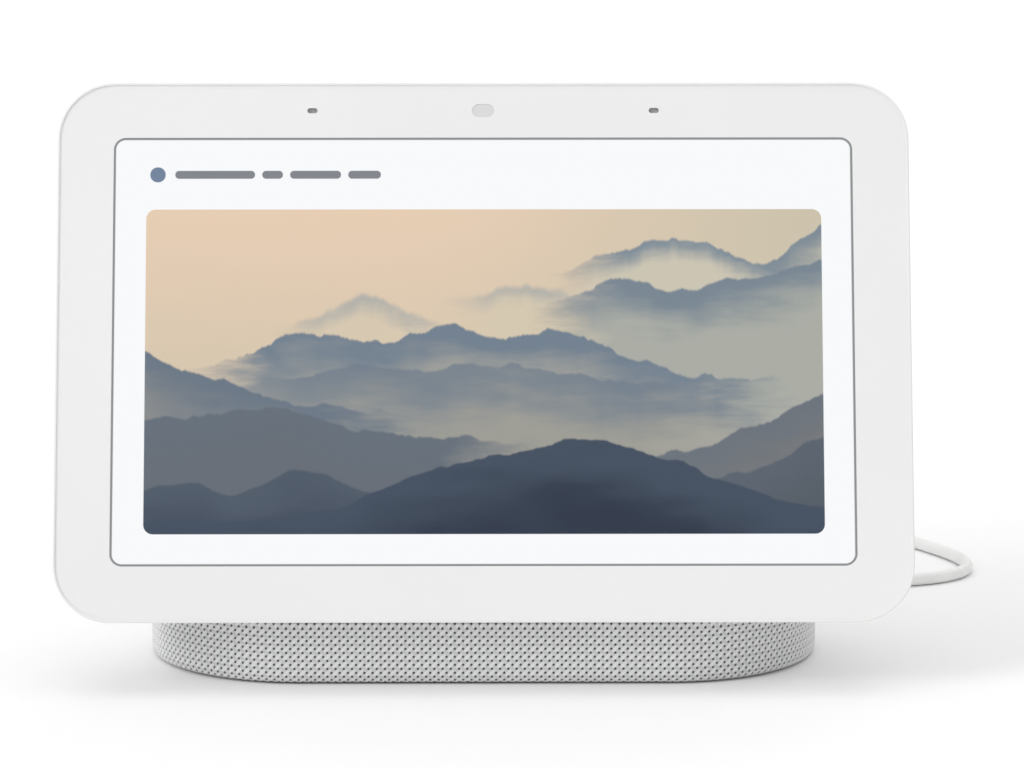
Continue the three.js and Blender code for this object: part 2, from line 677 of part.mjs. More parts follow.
// Outer form of the base, moved inwards by an inset, before the head's space is cut from it
function baseBlock(inset) {
  const ring = (fromEdge, height) => {
    const outline = stadium(0, BASE_MIDDLE, BASE_STRAIGHT, BASE_ROUND - fromEdge);
    return outline.map((point) => new THREE.Vector3(point.x, point.y, height(point.y)));
  };
  const rings = [];
  const bottomRound = Math.max(BASE_BOTTOM_ROUND - inset, 0);
  const bottomSteps = bottomRound > 0 ? 3 : 0;
  for (let step = bottomSteps; step > 0; step -= 1) {
    const angle = (step / bottomSteps) * Math.PI / 2;
    const fromEdge = BASE_BOTTOM_ROUND - bottomRound * Math.cos(angle);
    rings.push(ring(fromEdge, () => BASE_BOTTOM + BASE_BOTTOM_ROUND - bottomRound * Math.sin(angle)));
  }
  rings.push(ring(inset, () => BASE_BOTTOM + BASE_BOTTOM_ROUND));
  const shoulder = BASE_SHOULDER - inset;
  const shoulderSteps = 5;
  for (let step = 0; step <= shoulderSteps; step += 1) {
    const angle = (step / shoulderSteps) * Math.PI / 2;
    const rise = shoulder * Math.sin(angle) - BASE_SHOULDER;
    rings.push(ring(BASE_SHOULDER - shoulder * Math.cos(angle), (y) => topHeight(y) + rise));
  }
  return loft(rings);
}

function basePrism(inset, low, high) {
  return extruded(stadium(0, BASE_MIDDLE, BASE_STRAIGHT, BASE_ROUND - inset), [], low, high);
}

function jackHole() {
  const start = BASE_BACK - ENCLOSURE_INSIDE - 2 * PAST;
  return lyingBar(JACK_NOSE + GAP, start, BASE_BACK + PAST, 16).translate(JACK_X, 0, JACK_Z);
}

function baseFabric() {
  return cut(
    baseBlock(0),
    baseBlock(FABRIC),
    headSpace(GAP),
    basePrism(HEM, -PAST, BASE_BOTTOM_ROUND),
    jackHole(),
  );
}

function grilleSlots() {
  const slots = [];
  for (let place = -2; place <= 2; place += 1) {
    const offset = place * GRILLE_PITCH;
    const height = 2 * Math.sqrt(GRILLE_RADIUS ** 2 - offset ** 2);
    const slot = box(SPEAKER_X + offset, BASE_BACK - FABRIC, SPEAKER_Z, GRILLE_SLOT, 2 * GRILLE_DEPTH, height);
    slots.push(slot);
  }
  return slots;
}

function bottomScrewPlaces() {
  const places = [];
  for (const sideY of [-1, 1]) {
    for (const sideX of [-1, 1]) {
      places.push({ side: sideX, x: sideX * BOTTOM_SCREW.x, y: BASE_MIDDLE + sideY * BOTTOM_SCREW.y });
    }
  }
  return places;
}

function baseEnclosure() {
  const insideHead = GAP + ENCLOSURE_WALL;
  const cavity = cut(baseBlock(ENCLOSURE_INSIDE), headSpace(insideHead));
  const { s, width, height, corner } = CABLE_WINDOW;
  const window = rectangle(0, s, width, height, corner, 3);
  const throughFlange = [window, ...neckScrewCircles(SCREW_CLEARANCE)].map((outline) => {
    return inWorld(headPlate(outline, [], HEAD_THICKNESS - PAST, FLANGE_BACK + PAST));
  });
  const shell = cut(
    baseBlock(ENCLOSURE_OUTSIDE),
    headSpace(GAP),
    cavity,
    basePrism(ENCLOSURE_INSIDE, -PAST, PLATE_TOP + PAST),
    ...throughFlange,
    ...grilleSlots(),
    jackHole(),
  );
  const low = PLATE_TOP + GAP;
  const { radius, rib, high } = BOTTOM_BOSS;
  const bosses = bottomScrewPlaces().flatMap(({ side, x, y }) => [
    bar(radius, low, high).translate(x, y, 0),
    box(x + side * radius, y, (low + high) / 2, 2 * radius, rib, high - low),
  ]);
  const bores = bottomScrewPlaces().map(({ x, y }) => {
    return bar(SCREW_CLEARANCE, 0, BOTTOM_SCREW.top + PAST).translate(x, y, 0);
  });
  return cut(join(shell, ...bosses), ...bores);
}

function bottomPlate() {
  const holes = bottomScrewPlaces().map(({ x, y }) => circle(x, y, SCREW_CLEARANCE));
  const outline = stadium(0, BASE_MIDDLE, BASE_STRAIGHT, BASE_ROUND - ENCLOSURE_INSIDE - GAP);
  const plate = extruded(outline, holes, PLATE_BOTTOM, PLATE_TOP);
  const counterbores = bottomScrewPlaces().map(({ x, y }) => {
    return bar(BOTTOM_SCREW.head + GAP, 0, PLATE_BOTTOM + BOTTOM_SCREW.seat).translate(x, y, 0);
  });
  return cut(plate, ...counterbores);
}

function bottomScrew({ x, y }) {
  const high = PLATE_BOTTOM + BOTTOM_SCREW.seat - GAP;
  const shaft = bar(BOTTOM_SCREW.shaft, high - BITE, BOTTOM_SCREW.top);
  const headDisc = bar(BOTTOM_SCREW.head, high - BOTTOM_SCREW.headHeight, high);
  return join(shaft, headDisc).translate(x, y, 0);
}

function rubberFoot() {
  const outline = (inset, z) => {
    const ring = stadium(0, BASE_MIDDLE, BASE_STRAIGHT, BASE_ROUND - inset);
    return ring.map((point) => new THREE.Vector3(point.x, point.y, z));
  };
  const inset = HEM + GAP;
  return loft([outline(inset + FOOT_CHAMFER, 0), outline(inset, FOOT_CHAMFER), outline(inset, FOOT_TOP)]);
}

function addBase() {
  addPart(smartDisplay, 'base_fabric', baseFabric(), 'fabric');
  addPart(smartDisplay, 'base_enclosure', baseEnclosure(), 'greyPlastic');
  addPart(smartDisplay, 'base_bottom_plate', bottomPlate(), 'greyPlastic');
  bottomScrewPlaces().forEach((place, index) => {
    addPart(smartDisplay, `bottom_screw_${index + 1}`, bottomScrew(place), 'steel');
  });
  addPart(smartDisplay, 'rubber_foot', rubberFoot(), 'rubber');
}

// Speaker, turned about its own axis, which lies along +Y

function speakerBasket() {
  return turnedRing([
    [9.6, 17.6], [12.2, 17.6], [18.9, 26.6], [18.9, 28.3], [20, 28.3],
    [20, 29.9], [17.9, 29.9], [17.9, 27], [11.4, 18.8], [9.6, 18.8],
  ], 20);
}

function speakerMagnet() {
  return turned([
    [0, 5], [14.5, 5], [14.5, 17.3], [8.9, 17.3], [8.9, 9], [7.1, 9], [7.1, 17], [0, 17],
  ]);
}

function speakerCone() {
  return turned([
    [0, 22.8], [4.4, 22.2], [7.6, 20.6], [15.4, 27.2], [15.4, 27.8], [8, 21.4], [4.6, 22.9], [0, 23.5],
  ], 20);
}

function speakerSurround() {
  const middle = 16.65;
  const base = 27.6;
  const over = arcPoints(middle, base, 0.95, 0, 0.5, 4);
  const under = arcPoints(middle, base, 0.5, 0.5, 0, 4);
  return turnedRing([...over, ...under].map((point) => [point.x, point.y]), 20);
}

function speakerLead() {
  return tube([
    new THREE.Vector3(1, 19, 24.4),
    new THREE.Vector3(8, 14, 24.5),
    new THREE.Vector3(15, 4, 25),
    new THREE.Vector3(19, -8, 26.3),
  ], 0.6, 10);
}

function addSpeaker() {
  const speaker = new THREE.Group();
  speaker.position.set(SPEAKER_X, 0, SPEAKER_Z);
  smartDisplay.add(speaker);
  addPart(speaker, 'speaker_basket', speakerBasket(), 'steel');
  addPart(speaker, 'speaker_magnet', speakerMagnet(), 'magnet');
  addPart(speaker, 'voice_coil', turnedRing([[7.6, 11.6], [8.3, 11.6], [8.3, 20.2], [7.6, 20.2]]), 'copper');
  addPart(speaker, 'speaker_cone', speakerCone(), 'paper');
  addPart(speaker, 'speaker_surround', speakerSurround(), 'rubber');
  const gasket = turnedRing([[18.2, 30.2], [19.8, 30.2], [19.8, 30.95], [18.2, 30.95]], 20);
  addPart(speaker, 'speaker_gasket', gasket, 'paper');
  addPart(smartDisplay, 'speaker_lead', speakerLead(), 'darkPlastic');
}

// Power inlet

function dcJack() {
  const wallInside = BASE_BACK - ENCLOSURE_INSIDE;
  const { size, start } = JACK_BODY;
  const end = wallInside - GAP;
  const body = box(0, (start + end) / 2, 0, size, end - start, size);
  const nose = lyingBar(JACK_NOSE, end - PAST, BASE_BACK - GAP, 16);
  const bore = lyingBar(JACK_BORE, PLUG_START - GAP, BASE_BACK + PAST);
  const pin = lyingBar(JACK_PIN.radius, PLUG_START - PAST, JACK_PIN.end, 8);
  return join(cut(join(body, nose), bore), pin).translate(JACK_X, 0, JACK_Z);
}

function powerHarness() {
  return tube([
    new THREE.Vector3(JACK_X, 15, 7.6),
    new THREE.Vector3(33, 8, 10),
    new THREE.Vector3(30, 0, 18),
    new THREE.Vector3(27, -7.4, 28),
  ], 1, 12);
}

function addPowerInlet() {
  addPart(smartDisplay, 'dc_jack', dcJack(), 'darkPlastic');
  const { y, z, width, depth, height } = JACK_BOARD;
  addPart(smartDisplay, 'jack_board', box(JACK_X, y, z, width, depth, height), 'board');
  addPart(smartDisplay, 'power_harness', powerHarness(), 'darkPlastic');
}

// Plug and free lead

function plugGrip() {
  return turned([
    [0, GRIP_START], [GRIP.start, GRIP_START], [GRIP.wide, GRIP_START + 0.4],
    [GRIP.wide, GRIP_END - 2.4], [GRIP.shoulder, GRIP_END - 0.6], [GRIP.end, GRIP_END], [0, GRIP_END],
  ], 20);
}

function taperedRelief(start, end) {
  const { wide, neck, end: narrow } = RELIEF;
  return turned([[0, start], [wide, start], [neck, start + 1], [narrow, end], [0, end]], 16);
}

// Route of the lead from the plug to its coil, on the table beside and behind the display
const LEAD_ROUTE = [
  [34, 61.6, 12],
  [34.1, 66.5, 11.5],
  [35.6, 72.4, 9.6],
  [39.8, 77.8, 6.6],
  [46.4, 80.6, 3.8],
  [54.4, 79.6, 2],
  [62.4, 75.6, 1.4],
  [70.2, 70, 1.4],
  [78, 64.4, 1.4],
  [85.6, 60.6, 1.4],
  [91.8, 59.6, 1.4],
  [96.9, 60.6, 1.4],
  [101.5, 62.8, 1.4],
  [105.3, 66, 1.4],
  [107.8, 70.4, 1.4],
  [108.4, 75.4, 1.4],
  [107.4, 80.8, 1.4],
  [105, 86.2, 1.4],
  [102.1, 91.4, 1.4],
  [98.8, 96.4, 1.4],
  [94.2, 101.2, 1.4],
  [87.8, 105.4, 1.4],
  [79.8, 107.8, 1.4],
  [70.8, 107.2, 1.4],
  [61.6, 103.6, 1.4],
  [52.6, 98.4, 1.4],
  [43.6, 92.6, 1.4],
  [34.6, 86.8, 1.5],
  [25.4, 81.9, 1.9],
  [15.5, 79.6, 2.3],
];

function coilSize() {
  const halfWidth = COIL.wide * CORD_RADIUS;
  return {
    inside: COIL.radius - halfWidth,
    outside: COIL.radius + halfWidth,
    low: COIL.lift,
    high: COIL.lift + COIL.high * 2 * CORD_RADIUS,
  };
}

function cordCoil() {
  const { inside, outside, low, high } = coilSize();
  const ring = turnedRing([[inside, low], [outside, low], [outside, high], [inside, high]], 32);
  return ring.rotateX(Math.PI / 2).translate(COIL.x, COIL.y, 0);
}

// A strap round the near side of the coil
function coilTie() {
  const { inside, outside, low, high } = coilSize();
  const middleY = COIL.y - COIL.radius;
  const middleZ = (low + high) / 2;
  const width = outside - inside + 2 * GAP + 0.6;
  const height = high - low + 2 * GAP;
  const thick = 2 * TIE_THICKNESS;
  const outer = rectangle(middleY, middleZ, width + thick, height + thick, 1, 2);
  const inner = rectangle(middleY, middleZ, width, height, 0.5, 2);
  return extrudedAcross(outer, [inner], COIL.x - TIE_WIDTH / 2, COIL.x + TIE_WIDTH / 2);
}

// From the top turn of the coil to the adapter
function adapterCordRoute() {
  const top = coilSize().high - CORD_RADIUS;
  const outerTurn = COIL.y + COIL.radius + (COIL.wide - 1) * CORD_RADIUS;
  const start = COIL.x - 12;
  const reliefEnd = ADAPTER.x + ADAPTER.size / 2 + GAP + ADAPTER_RELIEF_LENGTH + GAP;
  return [
    new THREE.Vector3(start, outerTurn, top - 0.3),
    new THREE.Vector3((start + reliefEnd) / 2, ADAPTER.y, (top + ADAPTER_INLET_Z) / 2 - 0.2),
    new THREE.Vector3(reliefEnd, ADAPTER.y, ADAPTER_INLET_Z),
  ];
}

function addLead() {
  const plug = new THREE.Group();
  plug.position.set(JACK_X, 0, JACK_Z);
  smartDisplay.add(plug);
  const barrelEnd = GRIP_START - GAP;
  const { inside, outside } = BARREL;
  const barrel = [[inside, PLUG_START], [outside, PLUG_START], [outside, barrelEnd], [inside, barrelEnd]];
  addPart(plug, 'plug_barrel', turnedRing(barrel, 16), 'steel');
  addPart(plug, 'plug_grip', plugGrip(), 'whiteRubber');
  addPart(plug, 'plug_strain_relief', taperedRelief(GRIP_END + GAP, RELIEF_END), 'whiteRubber');
  const route = LEAD_ROUTE.map(([x, y, z]) => new THREE.Vector3(x, y, z));
  addPart(smartDisplay, 'power_cord', tube(route, CORD_RADIUS, 42), 'whiteRubber');
  addPart(smartDisplay, 'cord_coil', cordCoil(), 'whiteRubber');
  addPart(smartDisplay, 'coil_tie', coilTie(), 'greyPlastic');
  addPart(smartDisplay, 'adapter_cord', tube(adapterCordRoute(), CORD_RADIUS, 4), 'whiteRubber');
}

// Wall adapter

// A squircle block. Each section is an inset of its outline and a height.
function adapterBlock(sections) {
  return loft(sections.map(([inset, z]) => {
    const size = ADAPTER.size - 2 * inset;
    const outline = rectangle(0, 0, size, size, ADAPTER.corner - inset, 4);
    return outline.map((point) => new THREE.Vector3(point.x, point.y, z));
  }));
}

function roundedEnd(inset, end, radius, direction) {
  const steps = 3;
  const sections = [];
  for (let step = 0; step <= steps; step += 1) {
    const angle = (step / steps) * Math.PI / 2;
    const z = end - direction * radius * (1 - Math.sin(angle));
    sections.push([inset + radius * (1 - Math.cos(angle)), z]);
  }
  return direction > 0 ? sections : sections.reverse();
}

function adapterBody() {
  const { round, split, wall, size } = ADAPTER;
  const outside = adapterBlock([...roundedEnd(0, 0, round, -1), [0, split]]);
  const inside = adapterBlock([...roundedEnd(wall, wall, round - wall, -1), [wall, split + PAST]]);
  const inlet = lyingBar(ADAPTER_INLET_BORE, -PAST, wall + PAST, 12).rotateZ(-Math.PI / 2);
  return cut(outside, inside, inlet.translate(size / 2 - wall, 0, ADAPTER_INLET_Z));
}

function bladeSlots() {
  return [-1, 1].map((side) => {
    const width = BLADE.thickness + 2 * GAP;
    const depth = BLADE.width + 2 * GAP;
    return box(side * BLADE.spacing / 2, 0, ADAPTER.height, width, depth, 2 * (ADAPTER.wall + PAST));
  });
}

function adapterCap() {
  const { round, split, wall, height } = ADAPTER;
  const low = split + GAP;
  const outside = adapterBlock([[0, low], ...roundedEnd(0, height, round, 1)]);
  const inside = adapterBlock([[wall, low - PAST], ...roundedEnd(wall, height - wall, round - wall, 1)]);
  return cut(outside, inside, ...bladeSlots());
}

function adapterBlade(side) {
  const low = ADAPTER.height - BLADE.root;
  const high = ADAPTER.height + BLADE.length;
  const half = BLADE.width / 2;
  const tipStart = high - BLADE_TIP.height;
  const tipHalf = half - BLADE_TIP.inset;
  const outline = [
    new THREE.Vector2(-half, low),
    new THREE.Vector2(half, low),
    new THREE.Vector2(half, tipStart),
    new THREE.Vector2(tipHalf, high),
    new THREE.Vector2(-tipHalf, high),
    new THREE.Vector2(-half, tipStart),
  ];
  const hole = circle(0, high - BLADE_HOLE.fromTip, BLADE_HOLE.radius, 12);
  const middle = side * BLADE.spacing / 2;
  return extrudedAcross(outline, [hole], middle - BLADE.thickness / 2, middle + BLADE.thickness / 2);
}

function adapterTransformer() {
  const { x, y, z } = TRANSFORMER;
  const core = box(x, y, z, 16, 18, 11);
  const winding = box(x, y, z, 12, 22, 7);
  return join(core, winding);
}

function addAdapter() {
  const adapter = new THREE.Group();
  adapter.position.set(ADAPTER.x, ADAPTER.y, 0);
  smartDisplay.add(adapter);
  const relief = taperedRelief(0, ADAPTER_RELIEF_LENGTH).rotateZ(-Math.PI / 2);
  relief.translate(ADAPTER.size / 2 + GAP, 0, ADAPTER_INLET_Z);
  addPart(adapter, 'adapter_strain_relief', relief, 'whiteRubber');
  addPart(adapter, 'adapter_body', adapterBody(), 'whitePlastic');
  addPart(adapter, 'adapter_cap', adapterCap(), 'whitePlastic');
  addPart(adapter, 'adapter_blade_left', adapterBlade(-1), 'steel');
  addPart(adapter, 'adapter_blade_right', adapterBlade(1), 'steel');
  const { size, z, height } = ADAPTER_BOARD;
  addPart(adapter, 'adapter_board', box(0, 0, z, size, size, height), 'board');
  addPart(adapter, 'adapter_transformer', adapterTransformer(), 'copper');
}

addHead();
addNeck();
addBase();
addSpeaker();
addPowerInlet();
addLead();
addAdapter();

export default smartDisplay;
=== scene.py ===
"""Looks of a small smart display on a knitted base, with its power lead and wall adapter.

Everything is in metres in the row frame: +X is right seen from the front, the screen faces -Y
and +Z is up. Pieces of the tilted head are drawn on its own axes: u across, t back from the
glass and s up the face, written (u, t, s).
"""

import math
from typing import NamedTuple

import bmesh
import bpy
from mathutils import Matrix, Vector, noise


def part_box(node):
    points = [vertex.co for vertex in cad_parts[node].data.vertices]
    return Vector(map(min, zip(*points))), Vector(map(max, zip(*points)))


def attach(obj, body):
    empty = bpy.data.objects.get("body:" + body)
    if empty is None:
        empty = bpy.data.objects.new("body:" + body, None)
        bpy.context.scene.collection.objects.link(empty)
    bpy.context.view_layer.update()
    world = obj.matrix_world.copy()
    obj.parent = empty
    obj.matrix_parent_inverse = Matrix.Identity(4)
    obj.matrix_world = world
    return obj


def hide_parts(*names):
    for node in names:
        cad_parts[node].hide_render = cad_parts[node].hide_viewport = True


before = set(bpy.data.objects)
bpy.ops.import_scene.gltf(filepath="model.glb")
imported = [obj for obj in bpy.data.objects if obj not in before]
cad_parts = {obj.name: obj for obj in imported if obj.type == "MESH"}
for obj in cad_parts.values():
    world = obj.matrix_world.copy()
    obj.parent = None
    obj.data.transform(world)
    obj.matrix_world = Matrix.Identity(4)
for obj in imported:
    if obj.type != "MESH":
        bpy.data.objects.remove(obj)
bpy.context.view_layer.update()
scene = bpy.context.scene

MM = 0.001

# ---------------------------------------------------------------- sizes of the head

HEAD_TILT = math.radians(22)
HEAD_HEIGHT = 113.9 * MM
HEAD_CORNER = 12 * MM
HEAD_BACK_ROUND = 5 * MM
HEAD_DRAFT = 0.9 * MM
HEAD_WALL = 1.3 * MM
HEAD_SIDE_WALL = 1.8 * MM
RIM_ROUND = 0.3 * MM
RIM_WIDTH = 0.55 * MM
GLASS_POCKET = 1.3 * MM
POCKET_GAP = 0.005 * MM
GLASS_BACK = 0.3 * MM
PRINT_NEAR = 0.32 * MM
PRINT_FAR = 0.4 * MM
LCD_NEAR = 0.44 * MM

housing_low, housing_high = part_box("rear_housing")
HEAD_WIDTH = housing_high.x - housing_low.x
HEAD_ORIGIN = Vector((
    0,
    housing_low.y - RIM_ROUND * math.sin(HEAD_TILT),
    housing_high.z - HEAD_HEIGHT * math.cos(HEAD_TILT) + RIM_ROUND * math.sin(HEAD_TILT),
))
HEAD = Matrix.Translation(HEAD_ORIGIN) @ Matrix.Rotation(-HEAD_TILT, 4, "X")
HEAD_MIDDLE = HEAD_HEIGHT / 2


def head_box(node):
    """Lowest and highest corner of a CAD node on the head's own axes."""
    back = HEAD.inverted()
    places = [back @ vertex.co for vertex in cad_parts[node].data.vertices]
    low = Vector([min(place[axis] for place in places) for axis in range(3)])
    high = Vector([max(place[axis] for place in places) for axis in range(3)])
    return low, high


HEAD_THICKNESS = head_box("rear_housing")[1].y

# Screen: the printed border in front, the thin grey line round the lit area, and the area
BORDER = 12 * MM
SCREEN_LINE = 0.48 * MM
SCREEN_WIDTH = HEAD_WIDTH - 2 * BORDER
SCREEN_HEIGHT = HEAD_HEIGHT - 2 * BORDER
SCREEN_CORNER = 2.3 * MM
SENSOR_ROW = HEAD_HEIGHT - 6 * MM
SENSOR_SIZE = (4.6 * MM, 2.8 * MM)
MIC_SPACING = 71.2 * MM
MIC_SIZE = (2.1 * MM, 1.1 * MM)
SEAL_SIZE = (4 * MM, 3 * MM)
SEAL_NEAR = 1.1 * MM
SEAL_FAR = 1.9 * MM

# ---------------------------------------------------------------- sizes of the base

base_low, base_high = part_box("base_fabric")
BASE_ROUND = (base_high.y - base_low.y) / 2
BASE_STRAIGHT = base_high.x - BASE_ROUND
BASE_MIDDLE = (base_high.y + base_low.y) / 2
BASE_BOTTOM = base_low.z
BASE_SHOULDER = 16 * MM
BASE_TOP = Vector((0, -1.1 * MM, 70 * MM))
HEM = 2.6 * MM
HEM_ROUND = 1.1 * MM
COVER_THICKNESS = 0.9 * MM
HEAD_CLEARANCE = 0.3 * MM
HOLE_PITCH = 0.85 * MM
HOLE_DEPTH = 0.32 * MM
CROSSING_RISE = 0.05 * MM
RISING_THREAD = 0.14 * MM
FALLING_THREAD = 0.02 * MM

jack_low, jack_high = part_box("dc_jack")
JACK = Vector(((jack_low.x + jack_high.x) / 2, base_high.y, (jack_low.z + jack_high.z) / 2))
JACK_HOLE = 5.15 * MM

# ---------------------------------------------------------------- sizes of the lead

CORD_RADIUS = 1.35 * MM
coil_low, coil_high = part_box("cord_coil")
adapter_low, adapter_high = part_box("adapter_body")
cap_low, cap_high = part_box("adapter_cap")
ADAPTER = Vector(((adapter_low.x + adapter_high.x) / 2, (adapter_low.y + adapter_high.y) / 2, 0))
INLET_Z = 9 * MM

# ---------------------------------------------------------------- camera and studio

CAMERA_ELEVATION = math.radians(11)
CAMERA_DISTANCE = 1.18
CAMERA_LENS = 200.4
FACE_MIDDLE = Vector((0, -13.4 * MM, 67.55 * MM))
AIM_RIGHT = 5.92 * MM
AIM_DOWN = 6.91 * MM
ROOM_LIGHT = 0.64


def add_camera():
    """A long lens, a little above the display, aimed just right of and below its middle."""
    data = bpy.data.cameras.new("camera")
    data.sensor_width = 36
    data.lens = CAMERA_LENS
    data.clip_start = 0.05
    data.clip_end = 60
    camera = bpy.data.objects.new("camera", data)
    scene.collection.objects.link(camera)
    look = Vector((0, math.cos(CAMERA_ELEVATION), -math.sin(CAMERA_ELEVATION)))
    up = Vector((0, math.sin(CAMERA_ELEVATION), math.cos(CAMERA_ELEVATION)))
    camera.location = FACE_MIDDLE - look * CAMERA_DISTANCE
    aim = FACE_MIDDLE + Vector((AIM_RIGHT, 0, 0)) - up * AIM_DOWN
    camera.rotation_euler = (aim - camera.location).to_track_quat("-Z", "Y").to_euler()
    scene.camera = camera


def softbox(name, place, size, power):
    """A square or oblong lamp turned to the object."""
    data = bpy.data.lights.new(name, "AREA")
    data.shape = "RECTANGLE"
    data.size, data.size_y = size
    data.energy = power
    light = bpy.data.objects.new(name, data)
    light.location = place
    target = Vector((0, 0, 0.05))
    light.rotation_euler = (target - Vector(place)).to_track_quat("-Z", "Y").to_euler()
    scene.collection.objects.link(light)


def add_studio():
    """White surroundings, a key light from the left, one overhead and a weak one behind."""
    world = bpy.data.worlds.new("studio")
    world.use_nodes = True
    background = world.node_tree.nodes["Background"]
    background.inputs["Color"].default_value = (1, 1, 1, 1)
    background.inputs["Strength"].default_value = ROOM_LIGHT
    scene.world = world
    scene.view_settings.view_transform = "Standard"
    softbox("key", (-3.8, -2.2, 2.6), (2.4, 2.4), 84)
    softbox("top", (0, 0.5, 2.4), (3.0, 2.6), 24)
    softbox("back", (0.9, 1.9, 1.1), (1.2, 1.0), 3)


# ---------------------------------------------------------------- node materials


def srgb(red, green, blue):
    """A display colour from 0 to 255 as the linear colour that shaders take."""
    shares = [value / 255 for value in (red, green, blue)]
    return (*[v / 12.92 if v <= 0.04045 else ((v + 0.055) / 1.055) ** 2.4 for v in shares], 1)


class Look:
    """A procedural material on one Principled shader. Settings are the shader's own sockets."""

    def __init__(self, name, **settings):
        self.material = bpy.data.materials.new(name)
        self.material.use_nodes = True
        self.tree = self.material.node_tree
        self.shader = self.tree.nodes["Principled BSDF"]
        self.use(**settings)

    def put(self, socket, value):
        if isinstance(value, bpy.types.NodeSocket):
            self.tree.links.new(value, socket)
        else:
            socket.default_value = value

    def node(self, kind, inputs=(), **settings):
        made = self.tree.nodes.new("ShaderNode" + kind)
        for setting, value in settings.items():
            setattr(made, setting, value)
        for socket, value in dict(inputs).items():
            self.put(made.inputs[socket], value)
        return made

    def maths(self, operation, *values):
        made = self.node("Math", operation=operation)
        for socket, value in zip(made.inputs, values):
            self.put(socket, value)
        return made.outputs[0]

    def add(self, first, second):
        return self.maths("ADD", first, second)

    def subtract(self, first, second):
        return self.maths("SUBTRACT", first, second)

    def multiply(self, first, second):
        return self.maths("MULTIPLY", first, second)

    def place(self):
        return self.node("TexCoord").outputs["Object"]

    def scaled_place(self, scale, turn=(0, 0, 0)):
        inputs = {"Vector": self.place(), "Scale": scale, "Rotation": turn}
        return self.node("Mapping", inputs).outputs["Vector"]

    def head_place(self):
        """Millimetres on the head's own axes, as separate u, t and s."""
        inputs = {
            "Vector": self.place(),
            "Location": HEAD_ORIGIN,
            "Rotation": (-HEAD_TILT, 0, 0),
            "Scale": (MM, MM, MM),
        }
        mapping = self.node("Mapping", inputs, vector_type="TEXTURE")
        return self.node("SeparateXYZ", {"Vector": mapping.outputs["Vector"]}).outputs

    def noise(self, vector, scale, detail=3.0, roughness=0.55, dimensions="3D"):
        inputs = {"Scale": scale, "Detail": detail, "Roughness": roughness}
        if dimensions == "1D":
            inputs["W"] = vector
        else:
            inputs["Vector"] = vector
        return self.node("TexNoise", inputs, noise_dimensions=dimensions).outputs["Fac"]

    def wave(self, scale, distortion, direction):
        inputs = {"Vector": self.place(), "Scale": scale, "Distortion": distortion}
        return self.node("TexWave", inputs, wave_type="BANDS", bands_direction=direction).outputs["Fac"]

    def remap(self, value, low, high, to_low=0.0, to_high=1.0, smooth=False):
        inputs = {"Value": value, "From Min": low, "From Max": high, "To Min": to_low, "To Max": to_high}
        kind = "SMOOTHSTEP" if smooth else "LINEAR"
        return self.node("MapRange", inputs, interpolation_type=kind).outputs["Result"]

    def mix(self, factor, first, second):
        made = self.node("Mix", data_type="RGBA")
        colours = [socket for socket in made.inputs if socket.type == "RGBA"]
        self.put(made.inputs[0], factor)
        self.put(colours[0], first)
        self.put(colours[1], second)
        return next(socket for socket in made.outputs if socket.type == "RGBA")

    def bump(self, height, distance, strength):
        inputs = {"Height": height, "Distance": distance, "Strength": strength}
        return self.node("Bump", inputs).outputs["Normal"]

    def use(self, **sockets):
        for socket, value in sockets.items():
            self.put(self.shader.inputs[socket.replace("_", " ")], value)
        return self.material

    def finish(self, colour, roughness, height, depth, strength):
        """The material with its colour, roughness and fine relief."""
        relief = self.bump(height, depth, strength)
        return self.use(Base_Color=colour, Roughness=roughness, Normal=relief)


def moulded(name, colour, roughness, grain=0.02 * MM, tint=0.03, **settings):
    """Moulded plastic or rubber: a fine spark-eroded grain, faint flow marks and handling sheen."""
    look = Look(name, **settings)
    flow = look.noise(look.place(), 28, detail=2)
    grain_height = look.noise(look.place(), 2600, detail=2, roughness=0.7)
    scuffs = look.noise(look.scaled_place((90, 700, 240), (0.3, 0.5, 0.2)), 1, detail=4)
    light = (*[min(1, channel * (1 + tint)) for channel in colour[:3]], 1)
    dark = (*[channel * (1 - tint) for channel in colour[:3]], 1)
    shade = look.mix(look.remap(flow, 0.35, 0.65), dark, light)
    gloss = look.remap(scuffs, 0.3, 0.75, roughness - 0.05, roughness + 0.07)
    return look.finish(shade, gloss, grain_height, grain, 0.6)


def metal(name, colour, roughness, stretch=(30, 900, 900)):
    """Rolled or drawn metal with fine lines along one way and a faint tarnish."""
    look = Look(name, Metallic=1.0)
    lines = look.noise(look.scaled_place(stretch), 1, detail=5, roughness=0.7)
    tarnish = look.noise(look.place(), 120, detail=4)
    dull = (*[channel * 0.72 for channel in colour[:3]], 1)
    shade = look.mix(look.remap(tarnish, 0.45, 0.75), colour, dull)
    gloss = look.remap(lines, 0.3, 0.7, roughness - 0.08, roughness + 0.12)
    return look.finish(shade, gloss, lines, 0.02 * MM, 0.5)


def cover_glass_look():
    """Clear glass: what is behind it shows straight through, under a plain mirror sheen."""
    look = Look("cover_glass")
    look.tree.nodes.remove(look.shader)
    facing = look.node("LayerWeight", {"Blend": 0.5}).outputs["Facing"]
    edge_on = look.maths("POWER", facing, 5.0)
    smears = look.noise(look.scaled_place((40, 90, 60), (0.4, 0, 0.7)), 1, detail=4)
    gloss = look.remap(smears, 0.35, 0.75, 0.03, 0.07)
    mirror = look.node("BsdfGlossy", {"Color": (1, 1, 1, 1), "Roughness": gloss})
    clear = look.node("BsdfTransparent", {"Color": (1, 1, 1, 1)})
    share = look.remap(edge_on, 0, 1, 0.012, 0.6)
    both = look.node("MixShader", {0: share, 1: clear.outputs[0], 2: mirror.outputs[0]})
    output = next(node for node in look.tree.nodes if node.type == "OUTPUT_MATERIAL")
    look.tree.links.new(both.outputs[0], output.inputs["Surface"])
    return look.material


